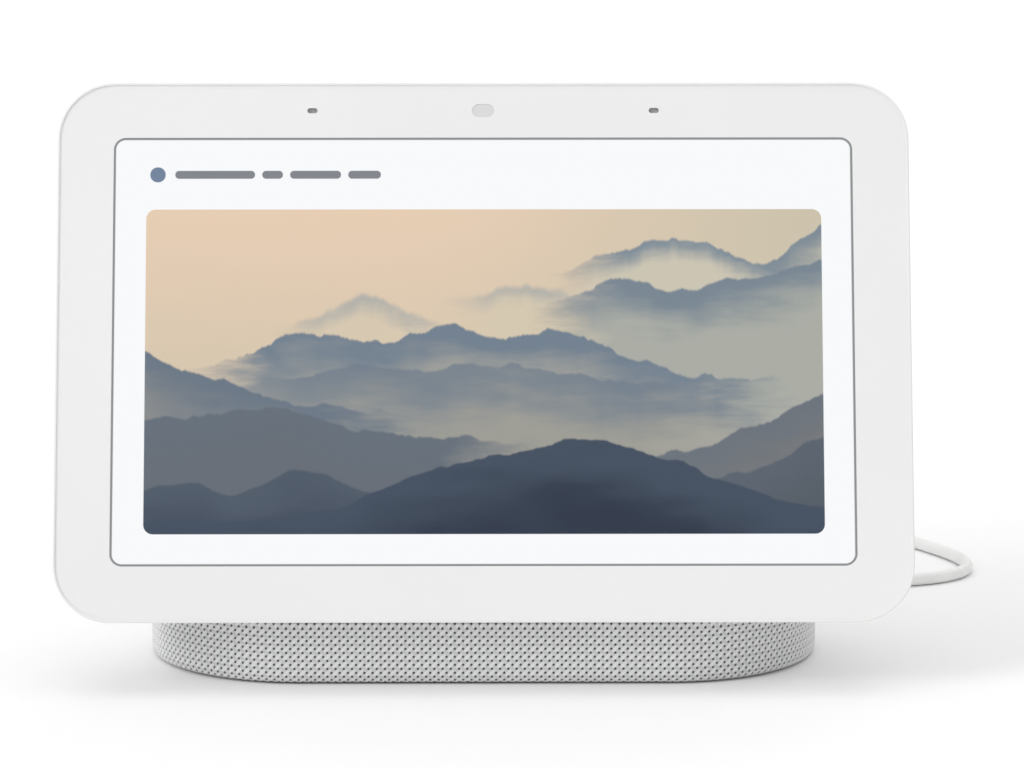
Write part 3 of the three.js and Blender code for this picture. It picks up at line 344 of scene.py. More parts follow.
def border_print_look():
    """White ceramic ink on the back of the glass: even, with a faint orange-peel."""
    look = Look("border_print", Specular_IOR_Level=0.2)
    peel = look.noise(look.place(), 900, detail=2)
    cloud = look.noise(look.place(), 14, detail=2)
    shade = look.mix(look.remap(cloud, 0.3, 0.7), srgb(241, 241, 241), srgb(244, 244, 244))
    gloss = look.remap(peel, 0.3, 0.7, 0.5, 0.62)
    return look.finish(shade, gloss, peel, 0.01 * MM, 0.4)


# ---------------------------------------------------------------- the picture on the screen

PICTURE = {"left": -70.05, "right": 70.3, "low": -38.5, "high": 29.9, "corner": 2.0}
TITLE_ROW = 37.3
TITLE_DOT = {"middle": -67.7, "size": 3.2}
TITLE_BARS = ((-64.1, -47.5), (-46.0, -41.7), (-40.2, -29.6), (-28.1, -21.3))
BAR_HEIGHT = 1.7
GLASS_SHEEN = 0.012
SIDE_FADE = 9.0


def on_screen(red, green, blue):
    """A display colour less the faint light that the glass adds in front of it."""
    return (*[max(channel - GLASS_SHEEN, 0) for channel in srgb(red, green, blue)[:3]], 1)


WHITE_GROUND = on_screen(250, 251, 253)


def rounded_box_distance(look, across, up, middle, size, corner):
    """How far outside a rounded rectangle a point is, in millimetres, less than 0 inside."""
    past = []
    for place, centre, length in zip((across, up), middle, size):
        offset = look.maths("ABSOLUTE", look.subtract(place, centre))
        past.append(look.subtract(offset, length / 2 - corner))
    outside = [look.maths("MAXIMUM", value, 0.0) for value in past]
    squares = [look.multiply(value, value) for value in outside]
    beyond = look.maths("SQRT", look.add(*squares))
    within = look.maths("MINIMUM", look.maths("MAXIMUM", *past), 0.0)
    return look.subtract(look.add(beyond, within), corner)


def rounded_box_mask(look, across, up, middle, size, corner, blur=0.06):
    distance = rounded_box_distance(look, across, up, middle, size, corner)
    return look.remap(distance, -blur, blur, 1.0, 0.0)


def hump(look, across, middle, half_width, height):
    """A smooth rise round a place on a ridge."""
    offset = look.maths("DIVIDE", look.subtract(across, middle), half_width)
    square = look.multiply(offset, offset)
    fall = look.maths("EXPONENT", look.multiply(square, -1.0))
    return look.multiply(fall, height)


class Ridge(NamedTuple):
    """One line of hills in mist. Lengths are millimetres on the screen.

    level and slope give the bare line, humps its hills as (middle, half width, height), crest and
    haze its colours at the top and down in the mist, fade the depth of that change, reach the
    part of the line that stands out of the mist and shown how solid it is.
    """

    level: float
    slope: float
    humps: list
    crest: tuple
    haze: tuple
    fade: float
    seed: float
    reach: tuple = (-99, 99)
    rough: float = 2.4
    blur: float = 0.35
    shown: float = 1.0

    def crest_line(self, look, across):
        along = look.add(look.multiply(across, 0.085), self.seed)
        ragged = look.noise(along, 1.0, detail=9, roughness=0.6, dimensions="1D")
        line = look.multiply(look.subtract(ragged, 0.5), 2 * self.rough)
        line = look.add(line, look.multiply(across, self.slope))
        line = look.add(line, self.level)
        for middle, half_width, height in self.humps:
            line = look.add(line, hump(look, across, middle, half_width, height))
        return line

    def over(self, look, across, up, mist, behind):
        """The picture with this ridge painted over what is behind it."""
        below = look.subtract(self.crest_line(look, across), up)
        swirl = look.subtract(mist, 0.5)
        depth = look.add(below, look.multiply(swirl, 1.5 * self.fade))
        hazy = look.remap(depth, 0, self.fade, smooth=True)
        colour = look.mix(hazy, on_screen(*self.crest), on_screen(*self.haze))
        cover = look.remap(below, -self.blur, self.blur, 0.0, self.shown, smooth=True)
        start, end = self.reach
        drifted = look.add(across, look.multiply(swirl, 40.0))
        for side, hidden, shown in ((start, 0.0, 1.0), (end, 1.0, 0.0)):
            if abs(side) < 99:
                low, high = side - SIDE_FADE, side + SIDE_FADE
                seen = look.remap(drifted, low, high, hidden, shown, smooth=True)
                cover = look.multiply(cover, seen)
        return look.mix(cover, behind, colour)


def ridges():
    """Hills from the farthest to the nearest."""
    return [
        Ridge(13, 0, [(80, 20, 17)], (128, 141, 152), (186, 184, 170), 9, 3.1, reach=(46, 99)),
        Ridge(14, 0, [(39, 20, 9.5)], (129, 143, 154), (205, 198, 180), 6, 5.7, reach=(20, 64)),
        Ridge(10, 0, [(8, 11, 3.6)], (168, 172, 170), (214, 202, 178), 5, 8.3, reach=(-2, 18),
              blur=0.8, shown=0.8),
        Ridge(8, 0.09, [(28, 10, 4.5), (66, 16, 4)], (122, 136, 148), (172, 174, 166), 12, 9.4,
              reach=(18, 99)),
        Ridge(5, 0, [(-24, 10, 6.4)], (170, 173, 170), (216, 202, 178), 6, 11.8, reach=(-36, -12),
              blur=0.8, shown=0.85),
        Ridge(-5, -0.02, [(-8, 20, 9), (-38, 12, 7), (20, 15, 7)], (115, 130, 145),
              (166, 165, 157), 15, 14.2, reach=(-54, 56), rough=2.8),
        Ridge(-7, 0, [(-28, 16, 3), (2, 18, 4)], (116, 129, 142), (158, 157, 150), 15, 17.6,
              reach=(-46, 42), shown=0.85),
        Ridge(-15, -0.1, [(-78, 22, 9)], (108, 121, 135), (140, 142, 142), 15, 19.9,
              reach=(-99, -26)),
        Ridge(-19, -0.06, [(-44, 16, 4)], (103, 113, 124), (104, 111, 120), 12, 24.9,
              reach=(-99, 0)),
        Ridge(-24, 0, [(76, 26, 15)], (108, 116, 125), (118, 121, 124), 12, 21.3, reach=(22, 99)),
        Ridge(-30, 0, [(80, 26, 13)], (92, 101, 112), (86, 94, 104), 14, 28.5, reach=(30, 99)),
        Ridge(-34, 0, [(-36, 14, 8.5), (-64, 12, 6)], (82, 93, 107), (68, 78, 93), 12, 30.8,
              reach=(-99, 6)),
        Ridge(-36, 0, [(20, 36, 17), (-14, 12, 3)], (70, 82, 98), (50, 59, 75), 18, 32.7, rough=1.8,
              blur=0.3),
    ]


def landscape(look, across, up):
    """Misty hills under a warm sky."""
    place = look.node("CombineXYZ", {"X": across, "Y": up}).outputs[0]
    wide = look.node("Mapping", {"Vector": place, "Scale": (0.03, 0.13, 1)}).outputs[0]
    mist = look.noise(wide, 1.0, detail=7, roughness=0.62)
    sky_fall = look.add(up, look.multiply(mist, 14.0))
    colour = look.mix(look.remap(sky_fall, 0, 36), on_screen(216, 200, 176), on_screen(232, 207, 181))
    toward_right = look.remap(across, -20, 75, smooth=True)
    colour = look.mix(toward_right, colour, on_screen(206, 196, 174))
    for ridge in ridges():
        colour = ridge.over(look, across, up, mist, colour)
    return colour


def screen_look():
    """The lit screen: white ground, a title row of plain placeholder bars and a landscape."""
    look = Look("screen_picture", Base_Color=(0.004, 0.004, 0.005, 1), Specular_IOR_Level=0.0)
    place = look.head_place()
    across = place["X"]
    up = look.subtract(place["Z"], HEAD_MIDDLE / MM)
    colour = WHITE_GROUND
    middle = ((PICTURE["left"] + PICTURE["right"]) / 2, (PICTURE["low"] + PICTURE["high"]) / 2)
    size = (PICTURE["right"] - PICTURE["left"], PICTURE["high"] - PICTURE["low"])
    inside = rounded_box_mask(look, across, up, middle, size, PICTURE["corner"])
    colour = look.mix(inside, colour, landscape(look, across, up))
    dot_size = (TITLE_DOT["size"], TITLE_DOT["size"])
    dot = rounded_box_mask(look, across, up, (TITLE_DOT["middle"], TITLE_ROW), dot_size, 1.55)
    colour = look.mix(dot, colour, on_screen(116, 134, 158))
    for left, right in TITLE_BARS:
        middle = ((left + right) / 2, TITLE_ROW)
        bar = rounded_box_mask(look, across, up, middle, (right - left, BAR_HEIGHT), 0.8)
        colour = look.mix(bar, colour, on_screen(132, 136, 142))
    lit_size = (SCREEN_WIDTH / MM - SCREEN_LINE / MM, SCREEN_HEIGHT / MM - SCREEN_LINE / MM)
    lit = rounded_box_mask(look, across, up, (0, 0), lit_size, SCREEN_CORNER / MM - 0.25, 0.08)
    shown = look.mix(lit, on_screen(144, 145, 146), colour)
    rough = look.remap(look.noise(look.place(), 900), 0.3, 0.7, 0.3, 0.4)
    return look.use(Emission_Color=shown, Emission_Strength=1.0, Roughness=rough)


# ---------------------------------------------------------------- knitted cover


def knit_look():
    """An open knit: threads along both diagonals passing over and under, with a hole in each cell,
    and painted shade on the threads along one diagonal, in the low parts between threads and in the
    holes.

    The UV map counts half-spacings of the holes, so holes are where u + v is even.
    """
    look = Look("knit_fabric", Sheen_Weight=0.25, Sheen_Roughness=0.6, Specular_IOR_Level=0.15)
    cell = look.node("SeparateXYZ", {"Vector": look.node("UVMap", uv_map="weave").outputs["UV"]}).outputs
    rise = look.multiply(look.add(cell["X"], cell["Y"]), 0.5)
    fall = look.multiply(look.subtract(cell["X"], cell["Y"]), 0.5)
    rise_off = look.maths("PINGPONG", rise, 0.5)
    fall_off = look.maths("PINGPONG", fall, 0.5)
    squares = [look.maths("POWER", offset, 2.0) for offset in (rise_off, fall_off)]
    from_hole = look.maths("SQRT", look.add(*squares))
    crossing = look.add(look.maths("FLOOR", rise), look.maths("FLOOR", fall))
    parity = look.maths("PINGPONG", crossing, 1.0)

    def thread(across_off, along_off, over):
        """Round profile of one set of threads, higher where it passes over the other."""
        from_middle = look.multiply(look.subtract(0.5, across_off), 2.0)
        round_top = look.subtract(1.0, look.maths("POWER", from_middle, 2.0))
        near_crossing = look.multiply(along_off, 2.0)
        lift = look.multiply(near_crossing, look.subtract(over, 0.5))
        return look.add(round_top, look.multiply(lift, 0.5))

    rising = thread(fall_off, rise_off, parity)
    falling = thread(rise_off, fall_off, look.subtract(1.0, parity))
    rising_on_top = look.remap(look.subtract(rising, falling), -0.08, 0.08)
    height = look.maths("MAXIMUM", rising, falling)

    def strands_along(rise_scale, fall_scale):
        """Fine strands, stretched the way that has the smaller scale."""
        scaled = {
            "X": look.multiply(rise, rise_scale),
            "Y": look.multiply(fall, fall_scale),
        }
        return look.noise(look.node("CombineXYZ", scaled).outputs[0], 1.0, detail=3, roughness=0.6)

    both_ways = {0: rising_on_top, "A": strands_along(17.0, 2.2), "B": strands_along(2.2, 17.0)}
    strands = look.node("Mix", both_ways).outputs[0]
    relief = look.add(height, look.multiply(strands, 0.35))
    hole = look.remap(from_hole, 0.12, 0.31, 1.0, 0.0, smooth=True)
    yarn = look.noise(look.place(), 420, detail=3)
    thread_colour = look.mix(look.remap(strands, 0.3, 0.7), srgb(226, 226, 227), srgb(252, 252, 252))
    thread_colour = look.mix(look.remap(yarn, 0.35, 0.7), thread_colour, srgb(238, 238, 239))
    # painted shade: the threads along the falling diagonal are drawn darker where they lie on top
    thread_with_painted_shade = look.mix(rising_on_top, srgb(218, 218, 219), thread_colour)
    # painted shade: darker in the low parts between the threads
    thread_with_painted_shade = look.mix(look.remap(height, 0.3, 0.9, smooth=True), srgb(204, 204, 205), thread_with_painted_shade)
    # painted shade: a dark dot at each hole, which in the mesh is only a shallow dent
    colour = look.mix(hole, thread_with_painted_shade, srgb(72, 73, 75))
    rough = look.remap(strands, 0.2, 0.8, 0.86, 1.0)
    return look.finish(colour, rough, relief, 0.12 * MM, 0.7)


# ---------------------------------------------------------------- mesh helpers


def new_object(name, mesh, place=None):
    if place is not None:
        mesh.transform(place)
    made = bpy.data.objects.new(name, mesh)
    scene.collection.objects.link(made)
    return made


def mesh_of(name, vertices, faces):
    """A mesh with its faces pointing out."""
    mesh = bpy.data.meshes.new(name)
    mesh.from_pydata([tuple(vertex) for vertex in vertices], [], faces)
    work = bmesh.new()
    work.from_mesh(mesh)
    bmesh.ops.recalc_face_normals(work, faces=work.faces)
    work.to_mesh(mesh)
    work.free()
    return mesh


def smooth(piece, degrees=32):
    """Smooth shading that stays crisp at edges and even on flat faces."""
    piece.data.shade_smooth()
    piece.data.set_sharp_from_angle(angle=math.radians(degrees))
    modifier = piece.modifiers.new("even_shading", "WEIGHTED_NORMAL")
    modifier.keep_sharp = True
    return piece


def rounded_outline(width, height, corner, steps=14, middle=(0, 0)):
    """Points of a rounded rectangle, counterclockwise from the right of its low side."""
    points = []
    for quarter, (side, end) in enumerate(((1, -1), (1, 1), (-1, 1), (-1, -1))):
        centre_x = middle[0] + side * (width / 2 - corner)
        centre_y = middle[1] + end * (height / 2 - corner)
        for step in range(steps + 1):
            angle = math.radians(90 * (quarter - 1 + step / steps))
            points.append((centre_x + corner * math.cos(angle), centre_y + corner * math.sin(angle)))
    return points


def pill_outline(size, middle, grow=0.0, steps=12):
    width, height = size[0] + 2 * grow, size[1] + 2 * grow
    return rounded_outline(width, height, min(width, height) / 2 * 0.998, steps, middle)


def skin(rings, endless=False):
    """Faces over a stack of rings of equal count, closed at both ends or into a loop."""
    count = len(rings[0])
    vertices = [point for ring in rings for point in ring]
    faces = []
    for ring in range(len(rings) if endless else len(rings) - 1):
        low, high = ring * count, (ring + 1) % len(rings) * count
        for index in range(count):
            following = (index + 1) % count
            faces.append((low + index, low + following, high + following, high + index))
    if not endless:
        faces.append(tuple(range(count)))
        faces.append(tuple(range((len(rings) - 1) * count, len(rings) * count)))
    return vertices, faces


def head_piece(name, sections):
    """A solid of the head. Each section is an outline in u and s and its depth t."""
    rings = [[(u, depth, s) for u, s in outline] for outline, depth in sections]
    return new_object(name, mesh_of(name, *skin(rings)), HEAD)


def plate(name, outline_at, near, far, edge=0.1 * MM):
    """A plate between two depths with softened edges. outline_at takes an inset."""
    return head_piece(name, [
        (outline_at(edge), near),
        (outline_at(edge * 0.3), near + edge * 0.3),
        (outline_at(0), near + edge),
        (outline_at(0), far - edge),
        (outline_at(edge * 0.3), far - edge * 0.3),
        (outline_at(edge), far),
    ])


def cut(piece, *cutters):
    """Takes the cutters out of the piece and removes them."""
    for cutter in cutters:
        modifier = piece.modifiers.new("cut", "BOOLEAN")
        modifier.operation = "DIFFERENCE"
        modifier.solver = "EXACT"
        modifier.object = cutter
    depsgraph = bpy.context.evaluated_depsgraph_get()
    mesh = bpy.data.meshes.new_from_object(piece.evaluated_get(depsgraph))
    piece.modifiers.clear()
    piece.data = mesh
    for cutter in cutters:
        bpy.data.objects.remove(cutter)
    return piece


def rounded_edge(radius, steps):
    """Insets from the side and falls from the top, from the foot of a rounded edge to its top."""
    angles = [math.radians(90 * step / steps) for step in range(steps + 1)]
    return [(radius * (1 - math.cos(angle)), radius * (1 - math.sin(angle))) for angle in angles]


def turned_mesh(name, profile, sides=48, axis="Y", endless=False):
    """A profile of (radius, place along the axis) turned about the axis."""
    rings = []
    for radius, along in profile:
        ring = []
        for side in range(sides):
            angle = 2 * math.pi * side / sides
            x, z = radius * math.cos(angle), radius * math.sin(angle)
            ring.append((x, along, z) if axis == "Y" else (along, x, z))
        rings.append(ring)
    return mesh_of(name, *skin(rings, endless))


def turned(name, profile, place, sides=48, axis="Y", endless=False):
    mesh = turned_mesh(name, profile, sides, axis, endless)
    return smooth(new_object(name, mesh, Matrix.Translation(place)))


def arc_profile(radius, along, corner, start, end, steps=6):
    """Profile points round a corner whose centre is at that radius and place along the axis."""
    points = []
    for step in range(steps + 1):
        angle = math.radians(start + (end - start) * step / steps)
        points.append((radius + corner * math.cos(angle), along + corner * math.sin(angle)))
    return points


def dress(piece, material, slot, *replaced, body="display"):
    """Gives a piece its material and the body it rides on, and hides the nodes it stands for.
    The slot argument is not used.
    """
    piece.data.materials.clear()
    piece.data.materials.append(material)
    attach(piece, body)
    if replaced:
        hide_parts(*replaced)
    return piece


# ---------------------------------------------------------------- free lead

# From inside the plug's strain relief, out of view behind the display, past its right side
# and back to the coil. Millimetres.
LEAD_ROUTE = [
    (34, 52, 12), (34, 57, 12), (34, 61.6, 12), (34.1, 66.5, 11.5),
    (35.6, 72.4, 9.6), (39.8, 77.8, 6.6), (46.4, 80.6, 3.8), (54.4, 79.6, 2),
    (62.4, 75.6, 1.4), (70.2, 70, 1.4), (78, 64.4, 1.4), (85.6, 60.6, 1.4),
    (91.8, 59.6, 1.4), (96.9, 60.6, 1.4), (101.5, 62.8, 1.4), (105.3, 66, 1.4),
    (107.8, 70.4, 1.4), (108.4, 75.4, 1.4), (107.4, 80.8, 1.4), (105, 86.2, 1.4),
    (102.1, 91.4, 1.4), (98.8, 96.4, 1.4), (94.2, 101.2, 1.4), (87.8, 105.4, 1.4),
    (79.8, 107.8, 1.4), (70.8, 107.2, 1.4), (61.6, 103.6, 1.4), (52.6, 98.4, 1.4),
    (43.6, 92.6, 1.4), (34.6, 86.8, 1.5), (25.4, 81.9, 1.9), (15.5, 79.6, 2.3),
]
COIL_LAYERS = 4
COIL_TURNS_IN_LAYER = 3
COIL_POINTS_IN_TURN = 18


def coil_path():
    """Turns side by side in layers, out and in by turns, each starting at the coil's far side."""
    centre = (coil_low + coil_high) / 2
    outer = (coil_high.x - coil_low.x) / 2 - CORD_RADIUS
    turns = []
    for layer in range(COIL_LAYERS):
        radii = [outer - 2 * CORD_RADIUS * turn for turn in range(COIL_TURNS_IN_LAYER)]
        height = coil_low.z + CORD_RADIUS + 2 * CORD_RADIUS * layer
        turns.extend((radius, height) for radius in (radii if layer % 2 == 0 else radii[::-1]))
    turns.append(turns[-1])
    points = []
    change = 0.86
    for turn, (here, there) in enumerate(zip(turns, turns[1:])):
        for step in range(COIL_POINTS_IN_TURN):
            share = step / COIL_POINTS_IN_TURN
            moved = min(max((share - change) / (1 - change), 0), 1)
            moved = moved * moved * (3 - 2 * moved)
            radius = here[0] + (there[0] - here[0]) * moved
            height = here[1] + (there[1] - here[1]) * moved
            angle = math.pi / 2 + 2 * math.pi * share
            x = centre.x + radius * math.cos(angle)
            points.append(Vector((x, centre.y + radius * math.sin(angle), height)))
    last_radius, last_height = turns[-1]
    points.append(Vector((centre.x, centre.y + last_radius, last_height)))
    return points


def adapter_path():
    """From the coil's last turn down into the adapter's strain relief."""
    relief_low, relief_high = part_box("adapter_strain_relief")
    top = coil_high.z - CORD_RADIUS
    inside = relief_low.x + 1 * MM
    return [
        Vector((-3 * MM, ADAPTER.y, top - 0.05 * MM)),
        Vector((-8 * MM, ADAPTER.y, top - 0.4 * MM)),
        Vector((-12.5 * MM, ADAPTER.y, top - 1.5 * MM)),
        Vector((relief_high.x, ADAPTER.y, INLET_Z)),
        Vector(((relief_high.x + inside) / 2, ADAPTER.y, INLET_Z)),
        Vector((inside, ADAPTER.y, INLET_Z)),
    ]


def cord_look():
    """White flexible jacket: soft sheen, a fine grain and a little handling grey."""
    look = Look("cord_jacket", Sheen_Weight=0.05)
    wear = look.noise(look.place(), 160, detail=5)
    fine = look.noise(look.place(), 1500, detail=2)
    colour = look.mix(look.remap(wear, 0.45, 0.8), srgb(242, 242, 241), srgb(230, 230, 228))
    rough = look.remap(fine, 0.3, 0.7, 0.38, 0.5)
    return look.finish(colour, rough, fine, 0.02 * MM, 0.5)


def add_cord(material):
    """The whole lead as one tube, from the plug to the adapter."""
    points = [Vector(place) * MM for place in LEAD_ROUTE] + coil_path() + adapter_path()
    curve = bpy.data.curves.new("power_lead", "CURVE")
    curve.dimensions = "3D"
    curve.resolution_u = 5
    curve.bevel_depth = CORD_RADIUS
    curve.bevel_resolution = 5
    curve.use_fill_caps = True
    spline = curve.splines.new("BEZIER")
    spline.bezier_points.add(len(points) - 1)
    for bezier, place in zip(spline.bezier_points, points):
        bezier.co = place
        bezier.handle_left_type = "AUTO"
        bezier.handle_right_type = "AUTO"
    lead = bpy.data.objects.new("power_lead", curve)
    scene.collection.objects.link(lead)
    return dress(lead, material, "cord_jacket", "power_cord", "cord_coil", "adapter_cord")


def plug_grip(material):
    """The moulded grip of the plug, with finger grooves."""
    low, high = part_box("plug_grip")
    radius = (high.x - low.x) / 2
    start, end = low.y, high.y
    grooves, first, pitch = 5, 2.6 * MM, 1.7 * MM
    depth, half = 0.35 * MM, 0.45 * MM
    front_round, back_round = 0.8 * MM, 1.6 * MM
    profile = [(radius - 1.0 * MM, start)]
    profile += arc_profile(radius - front_round, start + front_round, front_round, -90, 0)
    for groove in range(grooves):
        middle = start + first + pitch * groove
        profile += [(radius, middle - half), (radius - depth, middle - half / 2)]
        profile += [(radius - depth, middle + half / 2), (radius, middle + half)]
    profile.append((radius, end - 2.2 * MM))
    profile += arc_profile(radius - back_round, end - back_round, back_round, 5, 80)
    centre = Vector(((low.x + high.x) / 2, 0, (low.z + high.z) / 2))
    piece = turned("plug_grip_moulding", profile, centre, 64)
    return dress(piece, material, "cord_jacket", "plug_grip")


def ribbed_profile(start, end, ribs=6):
    """A tapering strain relief of rings on a slim core, widest at its start."""
    wide, narrow, core = 3.1 * MM, 2.1 * MM, 1.85 * MM
    pitch = (end - start) / ribs
    ring_share, edge = 0.62, 0.12 * MM
    profile = []
    for rib in range(ribs):
        radius = wide + (narrow - wide) * rib / (ribs - 1)
        near = start + rib * pitch
        far = near + pitch * ring_share
        profile += [(radius - edge, near), (radius, near + edge), (radius - edge, far - edge)]
        profile += [(radius - 2 * edge, far), (core, far + edge), (core, near + pitch - edge)]
    profile.append((core - edge, end))
    return profile


def strain_reliefs(material):
    """Ribbed reliefs at both ends of the lead, each reaching a little into the piece it guards."""
    overlap = 0.5 * MM
    pieces = []
    for end, axis in (("plug", "Y"), ("adapter", "X")):
        low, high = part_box(f"{end}_strain_relief")
        centre = (low + high) / 2
        start, stop = (low.y, high.y) if axis == "Y" else (low.x, high.x)
        place = Vector((centre.x, 0, centre.z)) if axis == "Y" else Vector((0, centre.y, centre.z))
        piece = turned(f"{end}_relief_ribs", ribbed_profile(start - overlap, stop), place, 48, axis)
        pieces.append(dress(piece, material, "cord_jacket", f"{end}_strain_relief"))
    return pieces


def tie_look():
    """Woven hook-and-loop strap: fine ribs across it and a fuzzy face."""
    look = Look("tie_strap", Sheen_Weight=0.4, Sheen_Roughness=0.5, Specular_IOR_Level=0.2)
    ribs = look.wave(420.0, 1.5, "X")
    fuzz = look.noise(look.place(), 2200, detail=4, roughness=0.7)
    height = look.add(look.multiply(ribs, 0.5), fuzz)
    colour = look.mix(look.remap(fuzz, 0.3, 0.7), srgb(176, 178, 181), srgb(216, 217, 219))
    return look.finish(colour, 0.9, height, 0.1 * MM, 0.8)


def swept_band(name, path, width, thickness, middle_x):
    """A soft-edged band along a path in y and z."""
    section = rounded_outline(width, thickness, thickness * 0.4, 3)
    rings = []
    for index, (y, z) in enumerate(path):
        before = path[max(index - 1, 0)]
        after = path[min(index + 1, len(path) - 1)]
        along = Vector((after[0] - before[0], after[1] - before[1])).normalized()
        rings.append([(middle_x + x, y + along.y * out, z - along.x * out) for x, out in section])
    return smooth(new_object(name, mesh_of(name, *skin(rings))), 50)


def coil_tie(material):
    """A strap round the near side of the coil, its end lapped over its start."""
    low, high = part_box("coil_tie")
    thickness, slack = 0.5 * MM, 0.12 * MM
    width = high.y - low.y - thickness - slack
    height = high.z - low.z - thickness - 2 * slack
    middle = ((low.y + high.y) / 2, (low.z + high.z) / 2 + slack)
    loop = rounded_outline(width, height, 2.2 * MM, 7, middle)
    start = 12
    loop = loop[start:] + loop[:start]
    lap_out = thickness * 1.05
    lap = []
    for y, z in loop[:9]:
        outward = Vector((y - middle[0], z - middle[1])).normalized()
        lap.append((y + outward.x * lap_out, z + outward.y * lap_out))
    piece = swept_band("coil_strap", loop + lap, high.x - low.x, thickness, (low.x + high.x) / 2)
    return dress(piece, material, "tie_strap", "coil_tie")


# ---------------------------------------------------------------- wall adapter


def adapter_ring(inset, z, corner=12 * MM):
    size = adapter_high.x - adapter_low.x - 2 * inset
    outline = rounded_outline(size, size, max(corner - inset, 0.5 * MM), 12, ADAPTER[:2])
    return [(x, y, z) for x, y in outline]


def adapter_shell(name, seam, end):
    """One half of the hollow case, from the inside of its flat end out to the same end outside."""
    wall, rounding, seam_edge = 2 * MM, 4 * MM, 0.25 * MM
    outward = 1 if end > seam else -1
    rings = [
        adapter_ring(rounding, end - outward * wall),
        adapter_ring(wall, end - outward * rounding),
        adapter_ring(wall, seam),
        adapter_ring(seam_edge, seam),
        adapter_ring(0, seam + outward * seam_edge),
    ]
    rings += [adapter_ring(inset, end - outward * fall) for inset, fall in rounded_edge(rounding, 8)]
    return new_object(name, mesh_of(name, *skin(rings)))


def blade_slots():
    """The slots of the two blades, as cutters."""
    margin = 0.25 * MM
    cutters = []
    for side in ("left", "right"):
        low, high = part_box("adapter_blade_" + side)
        size = (high.x - low.x + 2 * margin, high.y - low.y + 2 * margin)
        middle = ((low.x + high.x) / 2, (low.y + high.y) / 2)
        outline = rounded_outline(*size, 0.5 * MM, 4, middle)
        rings = [[(x, y, z) for x, y in outline] for z in (low.z - 1 * MM, cap_high.z + 2 * MM)]
        cutters.append(new_object("slot", mesh_of("slot", *skin(rings))))
    return cutters


def blade(side, material):
    """A flat contact blade with a rounded tip and a locating hole."""
    low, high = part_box("adapter_blade_" + side)
    middle_y = (low.y + high.y) / 2
    half = (high.y - low.y) / 2
    tip, edge, hole_radius, hole_drop = 1.6 * MM, 0.15 * MM, 1.6 * MM, 4.2 * MM
    corner = [(half - inset, high.z - fall) for inset, fall in rounded_edge(tip, 6)]
    outline = [(-half, low.z), (half, low.z), *corner, *[(-y, z) for y, z in corner[::-1]]]
    rings = []
    for x, inset in ((low.x, edge), (low.x + edge, 0), (high.x - edge, 0), (high.x, edge)):
        shrink = (half - inset) / half
        rings.append([(x, middle_y + y * shrink, z if z == low.z else z - inset) for y, z in outline])
    piece = new_object("blade_" + side, mesh_of("blade_" + side, *skin(rings)))
    hole = turned_mesh("hole", [(hole_radius, -4 * MM), (hole_radius, 4 * MM)], 32, "X")
    place = Vector(((low.x + high.x) / 2, middle_y, high.z - hole_drop))
    smooth(cut(piece, new_object("hole", hole, Matrix.Translation(place))))
    return dress(piece, material, "plated_steel", "adapter_blade_" + side)


def add_adapter(shell_look, blade_look):
    body = smooth(adapter_shell("adapter_lower_case", adapter_high.z, adapter_low.z))
    dress(body, shell_look, "adapter_shell", "adapter_body")
    cap = smooth(cut(adapter_shell("adapter_face", cap_low.z, cap_high.z), *blade_slots()))
    dress(cap, shell_look, "adapter_shell", "adapter_cap")
    return [body, cap, blade("left", blade_look), blade("right", blade_look)]


# ---------------------------------------------------------------- head


def face_outline(inset):
    """The head's outline in u and s, moved in by an inset."""
    corner = max(HEAD_CORNER - inset, 0.5 * MM)
    middle = (0, HEAD_MIDDLE)
    return rounded_outline(HEAD_WIDTH - 2 * inset, HEAD_HEIGHT - 2 * inset, corner, 20, middle)


def mic_places():
    return [(side * MIC_SPACING / 2, SENSOR_ROW) for side in (-1, 1)]


PIERCE = (-1 * MM, 4 * MM)

def hole_through(size, middle, near, far, flare=0.0, flare_depth=0.2 * MM):
    """A cutter for a pill-shaped hole, wider at its far end by a flare."""
    straight, flared = pill_outline(size, middle), pill_outline(size, middle, flare)
    ends = [(straight, near), (straight, far - flare_depth), (flared, far), (flared, far + 1 * MM)]
    return head_piece("hole", ends)


def mic_holes():
    return [hole_through(MIC_SIZE, place, *PIERCE) for place in mic_places()]


def rear_housing_shell():
    """The one-piece shell, from its inner floor round the glass pocket and rim to its outside."""
    inner_back = HEAD_THICKNESS - HEAD_WALL
    inner_round = HEAD_BACK_ROUND - HEAD_WALL
    pocket = RIM_WIDTH - POCKET_GAP
    inside, outside = rounded_edge(inner_round, 6)[::-1], rounded_edge(HEAD_BACK_ROUND, 12)
    profile = [(HEAD_SIDE_WALL + inset, inner_back - fall) for inset, fall in inside]
    profile += [(HEAD_SIDE_WALL, GLASS_POCKET), (pocket, GLASS_POCKET)]
    profile += [(pocket, 0.06 * MM), (pocket - 0.04 * MM, 0.02 * MM)]
    profile += rounded_edge(RIM_ROUND, 6)[::-1]
    profile += [(HEAD_DRAFT + inset, HEAD_THICKNESS - fall) for inset, fall in outside]
    return head_piece("rear_shell", [(face_outline(inset), depth) for inset, depth in profile])


def node_middle(node):
    """Middle of a CAD node in u and s, and its size there."""
    low, high = head_box(node)
    return ((low.x + high.x) / 2, (low.z + high.z) / 2), (high.x - low.x, high.z - low.z)


ROCKER_CAP = (4 * MM, 22 * MM)
ROCKER_FLANGE = (6.2 * MM, 25 * MM)
SLIDER_KNOB = (6 * MM, 3.6 * MM)
SLIDER_FLANGE = (12 * MM, 5.6 * MM)
SLIDER_TRAVEL = 2.4 * MM
FLANGE_THICKNESS = 0.6 * MM
SLOT_GAP = 0.25 * MM
SLOT_FLARE = 0.22 * MM
CABLE_SLOT = {"middle": (0, 16.5 * MM), "size": (30 * MM, 5 * MM)}
rocker_middle = node_middle("volume_rocker")[0]
slider_middle = node_middle("mute_slider")[0]


def slot_size(size, grow, travel=0.0):
    return (size[0] + 2 * grow + travel, size[1] + 2 * grow)


